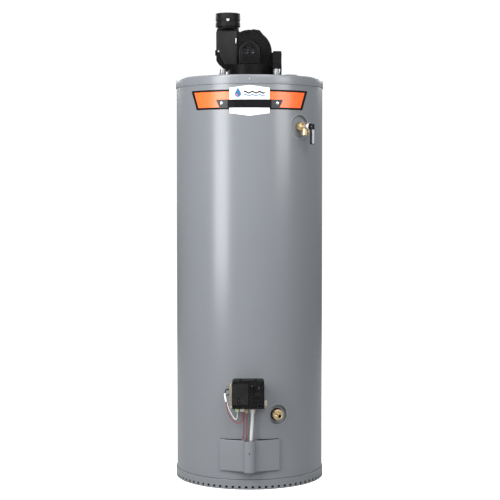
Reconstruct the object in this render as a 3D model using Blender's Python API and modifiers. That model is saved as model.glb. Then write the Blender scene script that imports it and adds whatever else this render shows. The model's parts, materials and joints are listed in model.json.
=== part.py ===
"""Power-vented gas tank water heater, modelled as separate named sub-parts (metres, +Z up).

The origin is the centre of the base on the floor. The front of the heater faces -Y.
"""

import math

import bmesh
import bpy
from mathutils import Matrix, Vector

# ---------------------------------------------------------------- driving dimensions
FIT = 0.0003                 # gap kept between touching pieces
SHEET = 0.0012               # sheet steel of the cabinet

JACKET_R = 0.2794            # 22 in jacket
JACKET_LOW = 0.0180
JACKET_TOP = 1.5140
LID_R = 0.2822
LID_TOP = 1.5190
LID_SKIRT = 0.0340
LID_CORNER = 0.0060
RING_R = 0.2822
RING_TOP = 0.0360
INTAKE_COUNT = 72            # air-intake openings around the base ring
INTAKE_LOW, INTAKE_HIGH = 0.0050, 0.0130

TANK_R = 0.2286              # 18 in tank
TANK_WALL = 0.0025
SHELL_LOW, SHELL_TOP = 0.0020, 1.3950
BOTTOM_HEAD_Z = 0.2150
FLUE_R = 0.0508              # 4 in flue
FLUE_WALL = 0.0020
FLUE_LOW, FLUE_TOP = 0.2250, 1.5000

NIPPLE_X, NIPPLE_Y = 0.1016, -0.1000
NIPPLE_R, NIPPLE_BORE = 0.01335, 0.0105
NIPPLE_LOW, NIPPLE_TOP = 1.4250, 1.5520
ANODE_X, ANODE_Y = 0.1578, 0.0300

RELIEF_AZIMUTH = math.radians(43.3)
RELIEF_Z = 1.3310
RELIEF_DISH_AZIMUTH = math.radians(41.9)
RELIEF_DISH_R = 0.0455
LEVER_PIVOT_R = 0.3340       # distance of the lever pin from the tank's axis
DRAIN_AZIMUTH = math.radians(21.8)
DRAIN_Z = 0.2730
DRAIN_DISH_R = 0.0385
DISH_FLOOR_R = 0.2660

CONTROL_X, CONTROL_Z = -0.0050, 0.3700
COVER_LEFT, COVER_RIGHT = -0.0625, 0.0530
COVER_LOW, COVER_TOP = 0.3135, 0.4158
COVER_FRONT, COVER_BACK = -0.3760, -0.3190
CASTING_LEFT, CASTING_RIGHT = -0.0720, 0.0500
CASTING_LOW, CASTING_TOP = 0.3050, 0.3980
CASTING_FRONT, CASTING_BACK = -0.3187, -0.2840
INLET_Y, INLET_Z, INLET_BORE = -0.3015, 0.3195, 0.0103

DOOR_HALF, DOOR_LOW, DOOR_TOP = 0.1105, 0.0700, 0.1840
CHANNEL_R, CHANNEL_Y = 0.0220, -0.3020
GAS_TUBE_R = 0.0064
LEAD_R = 0.0015
BURNER_Z = 0.1380            # underside of the burner pan
MIXER_Z = 0.0980             # centre line of the mixer tube
MIXER_R = 0.0165
MIXER_MOUTH_Y = -0.1900
ELECTRODE_Z = 0.1500
IGNITER_X, SENSOR_X, SIGHT_X = -0.0330, -0.0550, 0.0350
GAS_TUBE_X = 0.0110

HOOD_R = 0.0880
HOOD_LOW, HOOD_TOP = 1.5193, 1.5740
SHAFT_Z = 1.6280             # height of the blower's axis
SCROLL_FRONT, SCROLL_SPLIT, SCROLL_REAR = -0.0205, 0.0120, 0.0445
SCROLL_FLOOR = 1.5405
SCROLL_R, SCROLL_GROWTH, SCROLL_POWER = 0.0815, 0.0480, 4
DUCT_LEFT, DUCT_RIGHT, DUCT_TOP = -0.1255, -0.0405, 1.7060
PLASTIC = 0.0025             # wall of the moulded blower housings
VENT_X, VENT_Y = -0.0830, 0.0120
VENT_R, VENT_BORE = 0.0477, 0.0447
VENT_LOW, VENT_STOP, VENT_TOP = 1.7225, 1.7390, 1.7730
VENT_GROOVE_Z = 1.7420
SPIGOT_R = 0.0425
MOTOR_COVER_HALF = 0.0358
MOTOR_COVER_FRONT = -0.0800
SHAFT_R = 0.0040

SEG_CABINET = 72
SEG_TANK = 40
SEG_HOOD = 36
SEG_MEDIUM = 24
SEG_SMALL = 16

# ---------------------------------------------------------------- scene and materials
for old in list(bpy.data.objects):
    bpy.data.objects.remove(old, do_unlink=True)

PARTS = bpy.data.collections.new("tank_water_heater")
CUTTERS = bpy.data.collections.new("cutters")
for collection in (PARTS, CUTTERS):
    bpy.context.scene.collection.children.link(collection)


def material(name, colour, metallic, roughness):
    made = bpy.data.materials.new(name)
    made.use_nodes = True
    shader = made.node_tree.nodes["Principled BSDF"]
    shader.inputs["Base Color"].default_value = (*colour, 1.0)
    shader.inputs["Metallic"].default_value = metallic
    shader.inputs["Roughness"].default_value = roughness
    made.diffuse_color = (*colour, 1.0)
    return made


GREY_PAINT = material("grey_paint", (0.29, 0.31, 0.34), 0.0, 0.35)
TANK_STEEL = material("tank_steel", (0.16, 0.17, 0.20), 0.3, 0.5)
BARE_STEEL = material("bare_steel", (0.52, 0.53, 0.55), 1.0, 0.35)
ALUMINIUM = material("aluminium", (0.82, 0.83, 0.84), 1.0, 0.3)
CASTING = material("casting", (0.47, 0.42, 0.34), 0.8, 0.5)
BRASS = material("brass", (0.72, 0.53, 0.26), 1.0, 0.28)
BLACK_PLASTIC = material("black_plastic", (0.012, 0.012, 0.013), 0.0, 0.45)
BLACK_RUBBER = material("black_rubber", (0.014, 0.014, 0.014), 0.0, 0.6)
GREY_PLASTIC = material("grey_plastic", (0.33, 0.35, 0.37), 0.0, 0.5)
WHITE_PLASTIC = material("white_plastic", (0.78, 0.78, 0.75), 0.0, 0.45)
FOAM = material("foam", (0.72, 0.62, 0.40), 0.0, 0.9)
CERAMIC = material("ceramic", (0.80, 0.78, 0.72), 0.0, 0.6)
GASKET = material("gasket", (0.65, 0.63, 0.58), 0.0, 0.9)
GLASS = material("glass", (0.75, 0.85, 0.85), 0.0, 0.05)
RED_WIRE = material("red_wire", (0.42, 0.03, 0.03), 0.0, 0.4)
LABEL = material("label", (0.90, 0.16, 0.03), 0.0, 0.3)


# ---------------------------------------------------------------- building blocks
def add(name, mesh, mat, smooth=30.0):
    """Link a mesh as a sub-part; mat None makes it a cutter."""
    made = bpy.data.objects.new(name, mesh)
    if mat is None:
        CUTTERS.objects.link(made)
        made.hide_render = True
        made.display_type = "WIRE"
        return made
    PARTS.objects.link(made)
    mesh.materials.append(mat)
    if smooth:
        mesh.shade_smooth()
        mesh.set_sharp_from_angle(angle=math.radians(smooth))
    return made


def place(made, at=(0, 0, 0), parent=None, turn=None):
    made.location = at
    if turn:
        made.rotation_euler = turn
    made.parent = parent
    return made


def azimuth_frame(name, azimuth, height):
    """An empty whose -Y points out of the cabinet at this azimuth."""
    empty = bpy.data.objects.new(name, None)
    PARTS.objects.link(empty)
    empty.location = (0, 0, height)
    empty.rotation_euler = (0, 0, azimuth)
    return empty


def box(name, low, high, mat=None, bevel=0.0):
    mesh = bpy.data.meshes.new(name)
    form = bmesh.new()
    size = Vector(high) - Vector(low)
    centre = (Vector(high) + Vector(low)) / 2
    matrix = Matrix.Translation(centre) @ Matrix.Diagonal((*size, 1.0))
    bmesh.ops.create_cube(form, size=1.0, matrix=matrix)
    form.to_mesh(mesh)
    form.free()
    made = add(name, mesh, mat, smooth=0)
    if bevel:
        rounding = made.modifiers.new("rounded_edges", "BEVEL")
        rounding.width = bevel
        rounding.segments = 1
    return made


AXIS_TURN = {
    "z": Matrix.Identity(4),
    "y": Matrix.Rotation(math.radians(90), 4, "X"),
    "x": Matrix.Rotation(math.radians(90), 4, "Y"),
}


def rod(name, radius, start, end, along="z", centre=(0, 0), sides=SEG_SMALL, mat=None, top_radius=None):
    """A solid cylinder along a row axis from start to end; centre holds the two other coordinates."""
    mesh = bpy.data.meshes.new(name)
    form = bmesh.new()
    middle = (start + end) / 2
    where = {"z": (*centre, middle), "y": (centre[0], middle, centre[1]), "x": (middle, *centre)}[along]
    matrix = Matrix.Translation(where) @ AXIS_TURN[along]
    bmesh.ops.create_cone(
        form, cap_ends=True, segments=sides, radius1=radius,
        radius2=radius if top_radius is None else top_radius, depth=abs(end - start), matrix=matrix,
    )
    form.to_mesh(mesh)
    form.free()
    return add(name, mesh, mat)


def turned(name, profile, mat=None, sides=SEG_TANK, closed=True, smooth=30.0):
    """Turn an outline of (radius, height) points about Z; a closed outline is a ring-shaped section."""
    mesh = bpy.data.meshes.new(name)
    verts = [(radius, 0.0, height) for radius, height in profile]
    edges = [(i, i + 1) for i in range(len(verts) - 1)]
    if closed:
        edges.append((len(verts) - 1, 0))
    mesh.from_pydata(verts, edges, [])
    made = add(name, mesh, mat, smooth=0)
    screw = made.modifiers.new("turn", "SCREW")
    screw.steps = screw.render_steps = sides
    screw.use_merge_vertices = True
    screw.merge_threshold = 0.00001
    screw.use_smooth_shade = bool(smooth)
    return made


def baked(made):
    """Replace a curve or a modified object by its evaluated mesh, with loose seams welded."""
    bpy.context.view_layer.update()
    evaluated = made.evaluated_get(bpy.context.evaluated_depsgraph_get())
    mesh = bpy.data.meshes.new_from_object(evaluated)
    form = bmesh.new()
    form.from_mesh(mesh)
    bmesh.ops.remove_doubles(form, verts=form.verts, dist=0.00001)
    form.to_mesh(mesh)
    form.free()
    return mesh


def plate(name, outlines, low, high, along="z", mat=None, smooth=30.0):
    """Extrude closed outlines (the first the rim, the others holes) between two heights along an axis.

    Along z the outline is (x, y); along y it is (x, z); along x it is (y, z).
    """
    curve = bpy.data.curves.new(name, "CURVE")
    curve.dimensions = "2D"
    curve.fill_mode = "BOTH"
    curve.extrude = abs(high - low) / 2
    for outline in outlines:
        spline = curve.splines.new("POLY")
        spline.points.add(len(outline) - 1)
        for point, (u, v) in zip(spline.points, outline):
            point.co = (u, v, 0.0, 1.0)
        spline.use_cyclic_u = True
    drawn = bpy.data.objects.new(name + "_outline", curve)
    CUTTERS.objects.link(drawn)
    mesh = baked(drawn)
    mesh.materials.clear()
    bpy.data.objects.remove(drawn, do_unlink=True)
    if len(outlines) == 1:
        form = bmesh.new()
        form.from_mesh(mesh)
        bmesh.ops.dissolve_limit(form, angle_limit=math.radians(0.1), verts=form.verts, edges=form.edges)
        form.to_mesh(mesh)
        form.free()
    middle = (low + high) / 2
    lay = {
        "z": Matrix.Translation((0, 0, middle)),
        "y": Matrix.Translation((0, middle, 0)) @ Matrix.Rotation(math.radians(90), 4, "X"),
        "x": Matrix.Translation((middle, 0, 0))
        @ Matrix(((0, 0, 1, 0), (1, 0, 0, 0), (0, 1, 0, 0), (0, 0, 0, 1))),
    }[along]
    mesh.transform(lay)
    return add(name, mesh, mat, smooth)


def smooth_route(points, spacing):
    """Points at an even spacing along a Catmull-Rom curve through the given points."""
    spots = [Vector(p) for p in points]
    spots = [spots[0] * 2 - spots[1]] + spots + [spots[-1] * 2 - spots[-2]]
    fine = []
    for a, b, c, d in zip(spots, spots[1:], spots[2:], spots[3:]):
        for step in range(24):
            t = step / 24
            fine.append(0.5 * ((2 * b) + (c - a) * t + (2 * a - 5 * b + 4 * c - d) * t * t
                               + (3 * b - a - 3 * c + d) * t ** 3))
    fine.append(spots[-2])
    length = sum((q - p).length for p, q in zip(fine, fine[1:]))
    count = max(2, round(length / spacing))
    route, walked, target = [fine[0]], 0.0, length / count
    for p, q in zip(fine, fine[1:]):
        step = (q - p).length
        while walked + step >= target - 1e-9 and len(route) < count:
            route.append(p.lerp(q, (target - walked) / step))
            target += length / count
        walked += step
    route.append(fine[-1])
    return route


def tube(name, points, radius, mat, resolution=2, caps=True, wall=0.0):
    """A round bar along points, or with a wall a pipe that is open at both ends."""
    curve = bpy.data.curves.new(name, "CURVE")
    curve.dimensions = "3D"
    curve.bevel_depth = radius
    curve.bevel_resolution = resolution
    curve.use_fill_caps = caps
    spline = curve.splines.new("POLY")
    spline.points.add(len(points) - 1)
    for point, where in zip(spline.points, points):
        point.co = (*where, 1.0)
    drawn = bpy.data.objects.new(name + "_line", curve)
    CUTTERS.objects.link(drawn)
    mesh = baked(drawn)
    mesh.materials.clear()
    bpy.data.objects.remove(drawn, do_unlink=True)
    made = add(name, mesh, mat)
    if wall:
        skin = made.modifiers.new("wall", "SOLIDIFY")
        skin.thickness = wall
        skin.offset = -1.0
    return made


def combine(made, tool, operation):
    """Cut, join or intersect a piece with a tool object."""
    if tool.name in PARTS.objects:
        raise ValueError(f"{tool.name} is a sub-part, not a cutter")
    change = made.modifiers.new(tool.name, "BOOLEAN")
    change.operation = operation
    change.solver = "EXACT"
    change.object = tool


def cut(made, *tools):
    for tool in tools:
        combine(made, tool, "DIFFERENCE")
    return made


def join(made, *tools):
    for tool in tools:
        combine(made, tool, "UNION")
    return made


def arc(radius, start, end, steps, centre=(0.0, 0.0)):
    """Points on a circle from start to end, in degrees."""
    angles = [math.radians(start + (end - start) * i / steps) for i in range(steps + 1)]
    return [(centre[0] + radius * math.cos(a), centre[1] + radius * math.sin(a)) for a in angles]


def arc_band(inner, outer, half_angle, steps):
    """The outline of a curved sheet centred on the front of the cabinet."""
    start, end = -90 - half_angle, -90 + half_angle
    return arc(outer, start, end, steps) + arc(inner, end, start, steps)


RELIEF = azimuth_frame("relief_frame", RELIEF_AZIMUTH, RELIEF_Z)
RELIEF_DISH = azimuth_frame("relief_dish_frame", RELIEF_DISH_AZIMUTH, RELIEF_Z)
DRAIN = azimuth_frame("drain_frame", DRAIN_AZIMUTH, DRAIN_Z)


# ---------------------------------------------------------------- base
def make_base():
    rim = 0.2790
    turned("base_pan", [(0, 0.0015), (rim - 0.0015, 0.0015), (rim - 0.0015, 0.0045), (rim, 0.0045),
                        (rim, 0), (0, 0)], GREY_PAINT, SEG_CABINET, closed=False)

    # The ring is a strip of cells; every other cell of its low row is left out as an intake opening.
    mesh = bpy.data.meshes.new("base_ring")
    form = bmesh.new()
    cells = 2 * INTAKE_COUNT
    levels = (0.0, INTAKE_LOW, INTAKE_HIGH, RING_TOP)
    rows = []
    for level in levels:
        angles = [2 * math.pi * i / cells for i in range(cells)]
        rows.append([form.verts.new((RING_R * math.cos(a), RING_R * math.sin(a), level)) for a in angles])
    for row, (below, above) in enumerate(zip(rows, rows[1:])):
        for i in range(cells):
            if row == 1 and i % 2 == 0:
                continue
            j = (i + 1) % cells
            form.faces.new((below[i], below[j], above[j], above[i]))
    form.to_mesh(mesh)
    form.free()
    ring = add("base_ring", mesh, GREY_PAINT)
    skin = ring.modifiers.new("sheet", "SOLIDIFY")
    skin.thickness = SHEET
    skin.offset = -1.0


# ---------------------------------------------------------------- cabinet
def make_cabinet():
    inner = JACKET_R - SHEET
    jacket = turned("jacket", [(JACKET_R, JACKET_TOP), (JACKET_R, JACKET_LOW),
                               (inner, JACKET_LOW), (inner, JACKET_TOP)], GREY_PAINT, SEG_CABINET)
    cut(jacket, box("jacket_door_opening", (-0.085, -0.30, 0.0780), (0.085, -0.20, 0.1760)),
        rod("jacket_shank_hole", 0.0220, -0.30, -0.20, "y", (CONTROL_X, CONTROL_Z), SEG_MEDIUM),
        place(rod("jacket_relief_hole", RELIEF_DISH_R, -0.30, -0.20, "y", sides=32), (0, 0, 0), RELIEF_DISH),
        place(rod("jacket_drain_hole", DRAIN_DISH_R, -0.30, -0.20, "y", sides=32), (0, 0, 0), DRAIN))

    corner = arc(LID_CORNER, 90, 0, 2, (LID_R - LID_CORNER, LID_TOP - LID_CORNER))
    inner_corner = arc(LID_CORNER - SHEET, 0, 90, 1, (LID_R - LID_CORNER, LID_TOP - LID_CORNER))
    exhaust = 0.0520
    skirt_low = LID_TOP - LID_SKIRT
    lid = turned("top_lid", [(exhaust, LID_TOP)] + corner + [(LID_R, skirt_low), (LID_R - SHEET, skirt_low)]
                 + inner_corner + [(exhaust, LID_TOP - SHEET)], GREY_PAINT, SEG_CABINET)
    cut(lid, rod("lid_hot_hole", 0.0145, 1.50, 1.53, "z", (-NIPPLE_X, NIPPLE_Y)),
        rod("lid_cold_hole", 0.0145, 1.50, 1.53, "z", (NIPPLE_X, NIPPLE_Y)),
        rod("lid_anode_hole", 0.0200, 1.50, 1.53, "z", (ANODE_X, ANODE_Y)))

    outer, low, top = inner - 0.0008, 0.2050, 1.5120
    tank, flue = TANK_R + 0.0006, 0.0560
    foam = turned("foam_insulation", [(flue, top), (outer, top), (outer, low), (tank, low), (tank, 1.4000),
                                      (0.1700, 1.4480), (flue, 1.4660)],
                  FOAM, SEG_TANK)
    cut(foam, rod("foam_hot_hole", 0.0160, 1.40, 1.53, "z", (-NIPPLE_X, NIPPLE_Y)),
        rod("foam_cold_hole", 0.0160, 1.40, 1.53, "z", (NIPPLE_X, NIPPLE_Y)),
        rod("foam_anode_hole", 0.0220, 1.40, 1.53, "z", (ANODE_X, ANODE_Y)),
        rod("foam_shank_hole", 0.0220, -0.30, -0.20, "y", (CONTROL_X, CONTROL_Z), SEG_MEDIUM),
        place(rod("foam_relief_hole", RELIEF_DISH_R + 0.001, -0.30, -0.20, "y", sides=SEG_MEDIUM),
              (0, 0, 0), RELIEF_DISH),
        place(rod("foam_drain_hole", DRAIN_DISH_R + 0.001, -0.30, -0.20, "y", sides=SEG_MEDIUM),
              (0, 0, 0), DRAIN))


def make_label():
    """A thin name plate curved to the jacket: a wide band with a shield in its middle."""
    inner = JACKET_R + FIT
    step = 360 / SEG_CABINET
    band = plate("label_plate", [arc_band(inner, inner + 0.0006, 11 * step, 22)], 1.3600, 1.4820, "z", LABEL)
    half_top, half_low, top, low = 0.2143, 0.1943, 1.4635, 1.3920
    half_shield, shoulder, peak = 0.0730, 1.4700, 1.4787
    foot, tip = 1.3780, 1.3680
    right = [(0, tip), (half_shield, foot), (half_shield, low), (half_low, low), (half_top, top),
             (half_shield, top), (half_shield, shoulder), (0, peak)]
    left = [(-x, z) for x, z in reversed(right[1:-1])]
    combine(band, plate("label_outline", [right + left], -0.30, -0.10, "y"), "INTERSECT")


# ---------------------------------------------------------------- tank
def make_tank():
    inner = TANK_R - TANK_WALL
    shell = turned("tank_shell", [(TANK_R, SHELL_TOP), (TANK_R, SHELL_LOW), (inner, SHELL_LOW),
                                  (inner, SHELL_TOP)], TANK_STEEL)
    for turn in range(4):
        window = box(f"skirt_window_{turn}", (-0.030, -0.300, 0.0060), (0.030, 0.300, 0.0260))
        cut(shell, place(window, turn=(0, 0, math.radians(45 * turn + 22.5))))
    cut(shell, box("skirt_door_opening", (-0.066, -0.30, 0.0870), (0.066, -0.15, 0.1650)),
        rod("shell_shank_hole", 0.0172, -0.30, -0.15, "y", (CONTROL_X, CONTROL_Z), SEG_MEDIUM),
        place(rod("shell_relief_hole", 0.0130, -0.30, -0.15, "y"), (0, 0, 0), RELIEF),
        place(rod("shell_drain_hole", 0.0120, -0.30, -0.15, "y"), (0, 0, 0), DRAIN))

    rim, wall, hole = inner - 0.0005, 0.0030, FLUE_R + 0.0005
    top_outer = [(hole, 1.4600), (0.1700, 1.4400), (rim, 1.3930), (rim, 1.3650)]
    top_inner = [(rim - wall, 1.3650), (rim - wall, 1.3910), (0.1685, 1.4370), (hole, 1.4570)]
    head = turned("tank_top_head", top_outer + top_inner, TANK_STEEL)
    cut(head, rod("head_hot_hole", 0.0138, 1.40, 1.50, "z", (-NIPPLE_X, NIPPLE_Y)),
        rod("head_cold_hole", 0.0138, 1.40, 1.50, "z", (NIPPLE_X, NIPPLE_Y)),
        rod("head_anode_hole", 0.0112, 1.40, 1.50, "z", (ANODE_X, ANODE_Y)))
    low_outer = [(hole, 0.2450), (0.1900, 0.2340), (rim, BOTTOM_HEAD_Z), (rim, 0.1900)]
    low_inner = [(rim - wall, 0.1900), (rim - wall, 0.2130), (0.1885, 0.2310), (hole, 0.2420)]
    turned("tank_bottom_head", low_outer + low_inner, TANK_STEEL)

    inside = FLUE_R - FLUE_WALL
    turned("flue_tube", [(FLUE_R, FLUE_TOP), (FLUE_R, FLUE_LOW), (inside, FLUE_LOW), (inside, FLUE_TOP)],
           TANK_STEEL, SEG_MEDIUM)


def make_baffle():
    """A steel strip twisted along the flue."""
    half, low, top, turns, steps = 0.0400, 0.3000, 1.4900, 2.5, 30
    mesh = bpy.data.meshes.new("flue_baffle")
    form = bmesh.new()
    sides = []
    for i in range(steps + 1):
        angle = 2 * math.pi * turns * i / steps
        height = low + (top - low) * i / steps
        across = Vector((math.cos(angle), math.sin(angle), 0)) * half
        rise = Vector((0, 0, height))
        sides.append([form.verts.new(rise - across), form.verts.new(rise + across)])
    for below, above in zip(sides, sides[1:]):
        form.faces.new((below[0], below[1], above[1], above[0]))
    form.to_mesh(mesh)
    form.free()
    strip = add("flue_baffle", mesh, BARE_STEEL)
    skin = strip.modifiers.new("sheet", "SOLIDIFY")
    skin.thickness = 0.0015
    skin.offset = 0.0


def make_water_fittings():
    for name, x in (("hot_nipple", -NIPPLE_X), ("cold_nipple", NIPPLE_X)):
        profile = [(NIPPLE_R, NIPPLE_TOP), (NIPPLE_R, NIPPLE_LOW), (NIPPLE_BORE, NIPPLE_LOW),
                   (NIPPLE_BORE, NIPPLE_TOP)]
        place(turned(name, profile, BARE_STEEL, SEG_SMALL), (x, NIPPLE_Y, 0))
    outer, inner, low, top = 0.0092, 0.0076, 0.3600, 1.5000
    place(turned("dip_tube", [(outer, top), (outer, low), (inner, low), (inner, top)], WHITE_PLASTIC, 12),
          (NIPPLE_X, NIPPLE_Y, 0))

    bar = rod("anode_rod", 0.0105, 0.5000, 1.4700, "z", (ANODE_X, ANODE_Y), 12, ALUMINIUM)
    join(bar, rod("anode_hex", 0.0150, 1.4650, 1.4800, "z", (ANODE_X, ANODE_Y), 6))
    radius, low, top = 0.0310, LID_TOP + FIT, 1.5410
    wall = 0.0020
    crown = [(0, top), (radius - 0.006, top), (radius, top - 0.006), (radius, low), (radius - wall, low),
             (radius - wall, top - 0.0068), (radius - 0.0068, top - wall), (0, top - wall)]
    place(turned("anode_cap", crown, GREY_PLASTIC, SEG_MEDIUM, closed=False), (ANODE_X, ANODE_Y, 0))


# ---------------------------------------------------------------- burner end
def make_burner():
    floor_r, arrestor_r, floor_z = TANK_R - TANK_WALL - 0.0006, 0.0900, 0.0350
    turned("chamber_floor", [(arrestor_r, floor_z + 0.0015), (floor_r, floor_z + 0.0015), (floor_r, floor_z),
                             (arrestor_r, floor_z)], TANK_STEEL, SEG_TANK)
    hole_r, pitch = 0.0080, 0.0300
    spots = [(0, 0)] + arc(pitch, 0, 300, 5) + arc(2 * pitch, 30, 330, 5)
    holes = [arc(hole_r, 0, 300, 5, spot) for spot in spots]
    rim = arc(0.0960, 0, 345, 23)
    arrestor_z = floor_z + 0.0015 + FIT
    plate("flame_arrestor", [rim] + holes, arrestor_z, arrestor_z + 0.0120, "z", CERAMIC)

    z, wall, mouth = BURNER_Z, 0.0015, 0.0150
    pan = turned("burner_pan", [(0, z + 0.0220), (0.0700, z + 0.0190), (0.0800, z + 0.0120),
                                (0.0800, z + 0.0080), (0.0600, z), (mouth, z), (mouth, z + wall),
                                (0.0595, z + wall), (0.0785, z + 0.0090), (0.0785, z + 0.0112),
                                (0.0695, z + 0.0175), (0, z + 0.0205)], BARE_STEEL, SEG_MEDIUM, closed=False)
    for turn in range(6):
        port = box(f"burner_port_{turn}", (-0.0030, -0.100, z + 0.0088), (0.0030, 0.100, z + 0.0140))
        cut(pan, place(port, turn=(0, 0, math.radians(30 * turn + 15))))

    rise = 0.0040
    bend = BURNER_Z - MIXER_Z - rise
    elbow = [(0, y, height) for y, height in arc(bend, -90, 0, 6, (-bend, MIXER_Z + bend))]
    tube("mixer_tube", [(0, MIXER_MOUTH_Y, MIXER_Z)] + elbow + [(0, 0, BURNER_Z - FIT)], MIXER_R,
         BARE_STEEL, 3, caps=False, wall=0.0015)

    top = CASTING_LOW - 0.0058
    drop = [(GAS_TUBE_X, -0.3010, top), (0.0095, -0.3010, 0.2600), (0.0060, -0.3008, 0.2000)]
    knee = [(0.0030, y, height) for y, height in arc(0.0350, 180, 270, 6, (-0.2655, MIXER_Z + 0.0350))]
    run = [(0.0010, -0.2350, MIXER_Z), (0, MIXER_MOUTH_Y - 0.0020, MIXER_Z)]
    tube("gas_tube", drop + knee + run, GAS_TUBE_R, ALUMINIUM, 2)


def make_burner_door():
    inner, half_angle, low, top = 0.2310, 19.5, 0.0810, 0.1720
    door = plate("inner_door", [arc_band(inner, inner + 0.0015, half_angle, 8)], low, top, "z", BARE_STEEL)
    cut(door, rod("door_gas_hole", 0.0085, -0.30, -0.15, "y", (0.0010, MIXER_Z)),
        rod("door_igniter_hole", 0.0042, -0.30, -0.15, "y", (IGNITER_X, ELECTRODE_Z), 10),
        rod("door_sensor_hole", 0.0032, -0.30, -0.15, "y", (SENSOR_X, ELECTRODE_Z), 10),
        rod("door_sight_hole", 0.0075, -0.30, -0.15, "y", (SIGHT_X, ELECTRODE_Z - 0.015)))
    gasket = plate("door_gasket", [arc_band(0.2291, 0.2306, half_angle, 8)], low, top, "z", GASKET)
    cut(gasket, box("gasket_opening", (-0.0640, -0.30, 0.0890), (0.0640, -0.15, 0.1640)))
    rod("sight_glass", 0.0090, -0.2340, -0.2318, "y", (SIGHT_X, ELECTRODE_Z - 0.015), SEG_SMALL, GLASS)
    rod("igniter", 0.0038, -0.2460, -0.0780, "y", (IGNITER_X, ELECTRODE_Z), 10, CERAMIC)
    rod("flame_sensor", 0.0028, -0.2460, -0.0640, "y", (SENSOR_X, ELECTRODE_Z), 10, CERAMIC)

    # The outer door is one bent sheet: flange, wing, half-round channel, wing, flange.
    outer_y, inner_y = -0.2650, -0.2990
    channel = arc(CHANNEL_R, 180, 360, 12, (0, CHANNEL_Y))
    path = [(-DOOR_HALF, -0.2580), (-DOOR_HALF, outer_y), (-CHANNEL_R - 0.001, inner_y)] + channel + [
        (CHANNEL_R + 0.001, inner_y), (DOOR_HALF, outer_y), (DOOR_HALF, -0.2580)]
    mesh = bpy.data.meshes.new("outer_door")
    form = bmesh.new()
    low_row = [form.verts.new((x, y, DOOR_LOW)) for x, y in path]
    top_row = [form.verts.new((x, y, DOOR_TOP)) for x, y in path]
    for i in range(len(path) - 1):
        form.faces.new((low_row[i], low_row[i + 1], top_row[i + 1], top_row[i]))
    form.to_mesh(mesh)
    form.free()
    cover = add("outer_door", mesh, GREY_PAINT)
    skin = cover.modifiers.new("sheet", "SOLIDIFY")
    skin.thickness = SHEET
    skin.offset = -1.0
    cut(cover, rod("door_screw_hole", 0.0026, -0.34, -0.31, "y", (0, 0.1403), 10))


# ---------------------------------------------------------------- relief valve and drain
def make_dish(name, frame, radius, fitting, hole):
    """A recess trimmed to the curve of the jacket, with a hole for a fitting in its floor."""
    rim, wall = radius - FIT * 2, 0.0012
    profile = [(0, DISH_FLOOR_R), (rim - wall, DISH_FLOOR_R), (rim - wall, 0.2900), (rim, 0.2900),
               (rim, DISH_FLOOR_R - wall), (0, DISH_FLOOR_R - wall)]
    dish = turned(name, profile, GREY_PLASTIC, SEG_MEDIUM, closed=False)
    place(dish, (0, 0, 0), frame, (math.radians(90), 0, 0))
    combine(dish, rod(name + "_trim", JACKET_R, 0.10, 1.50, "z", sides=SEG_CABINET), "INTERSECT")
    cut(dish, place(rod(name + "_hole", hole, -0.2750, -0.2550, "y", sides=SEG_MEDIUM), (0, 0, 0), fitting))


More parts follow.
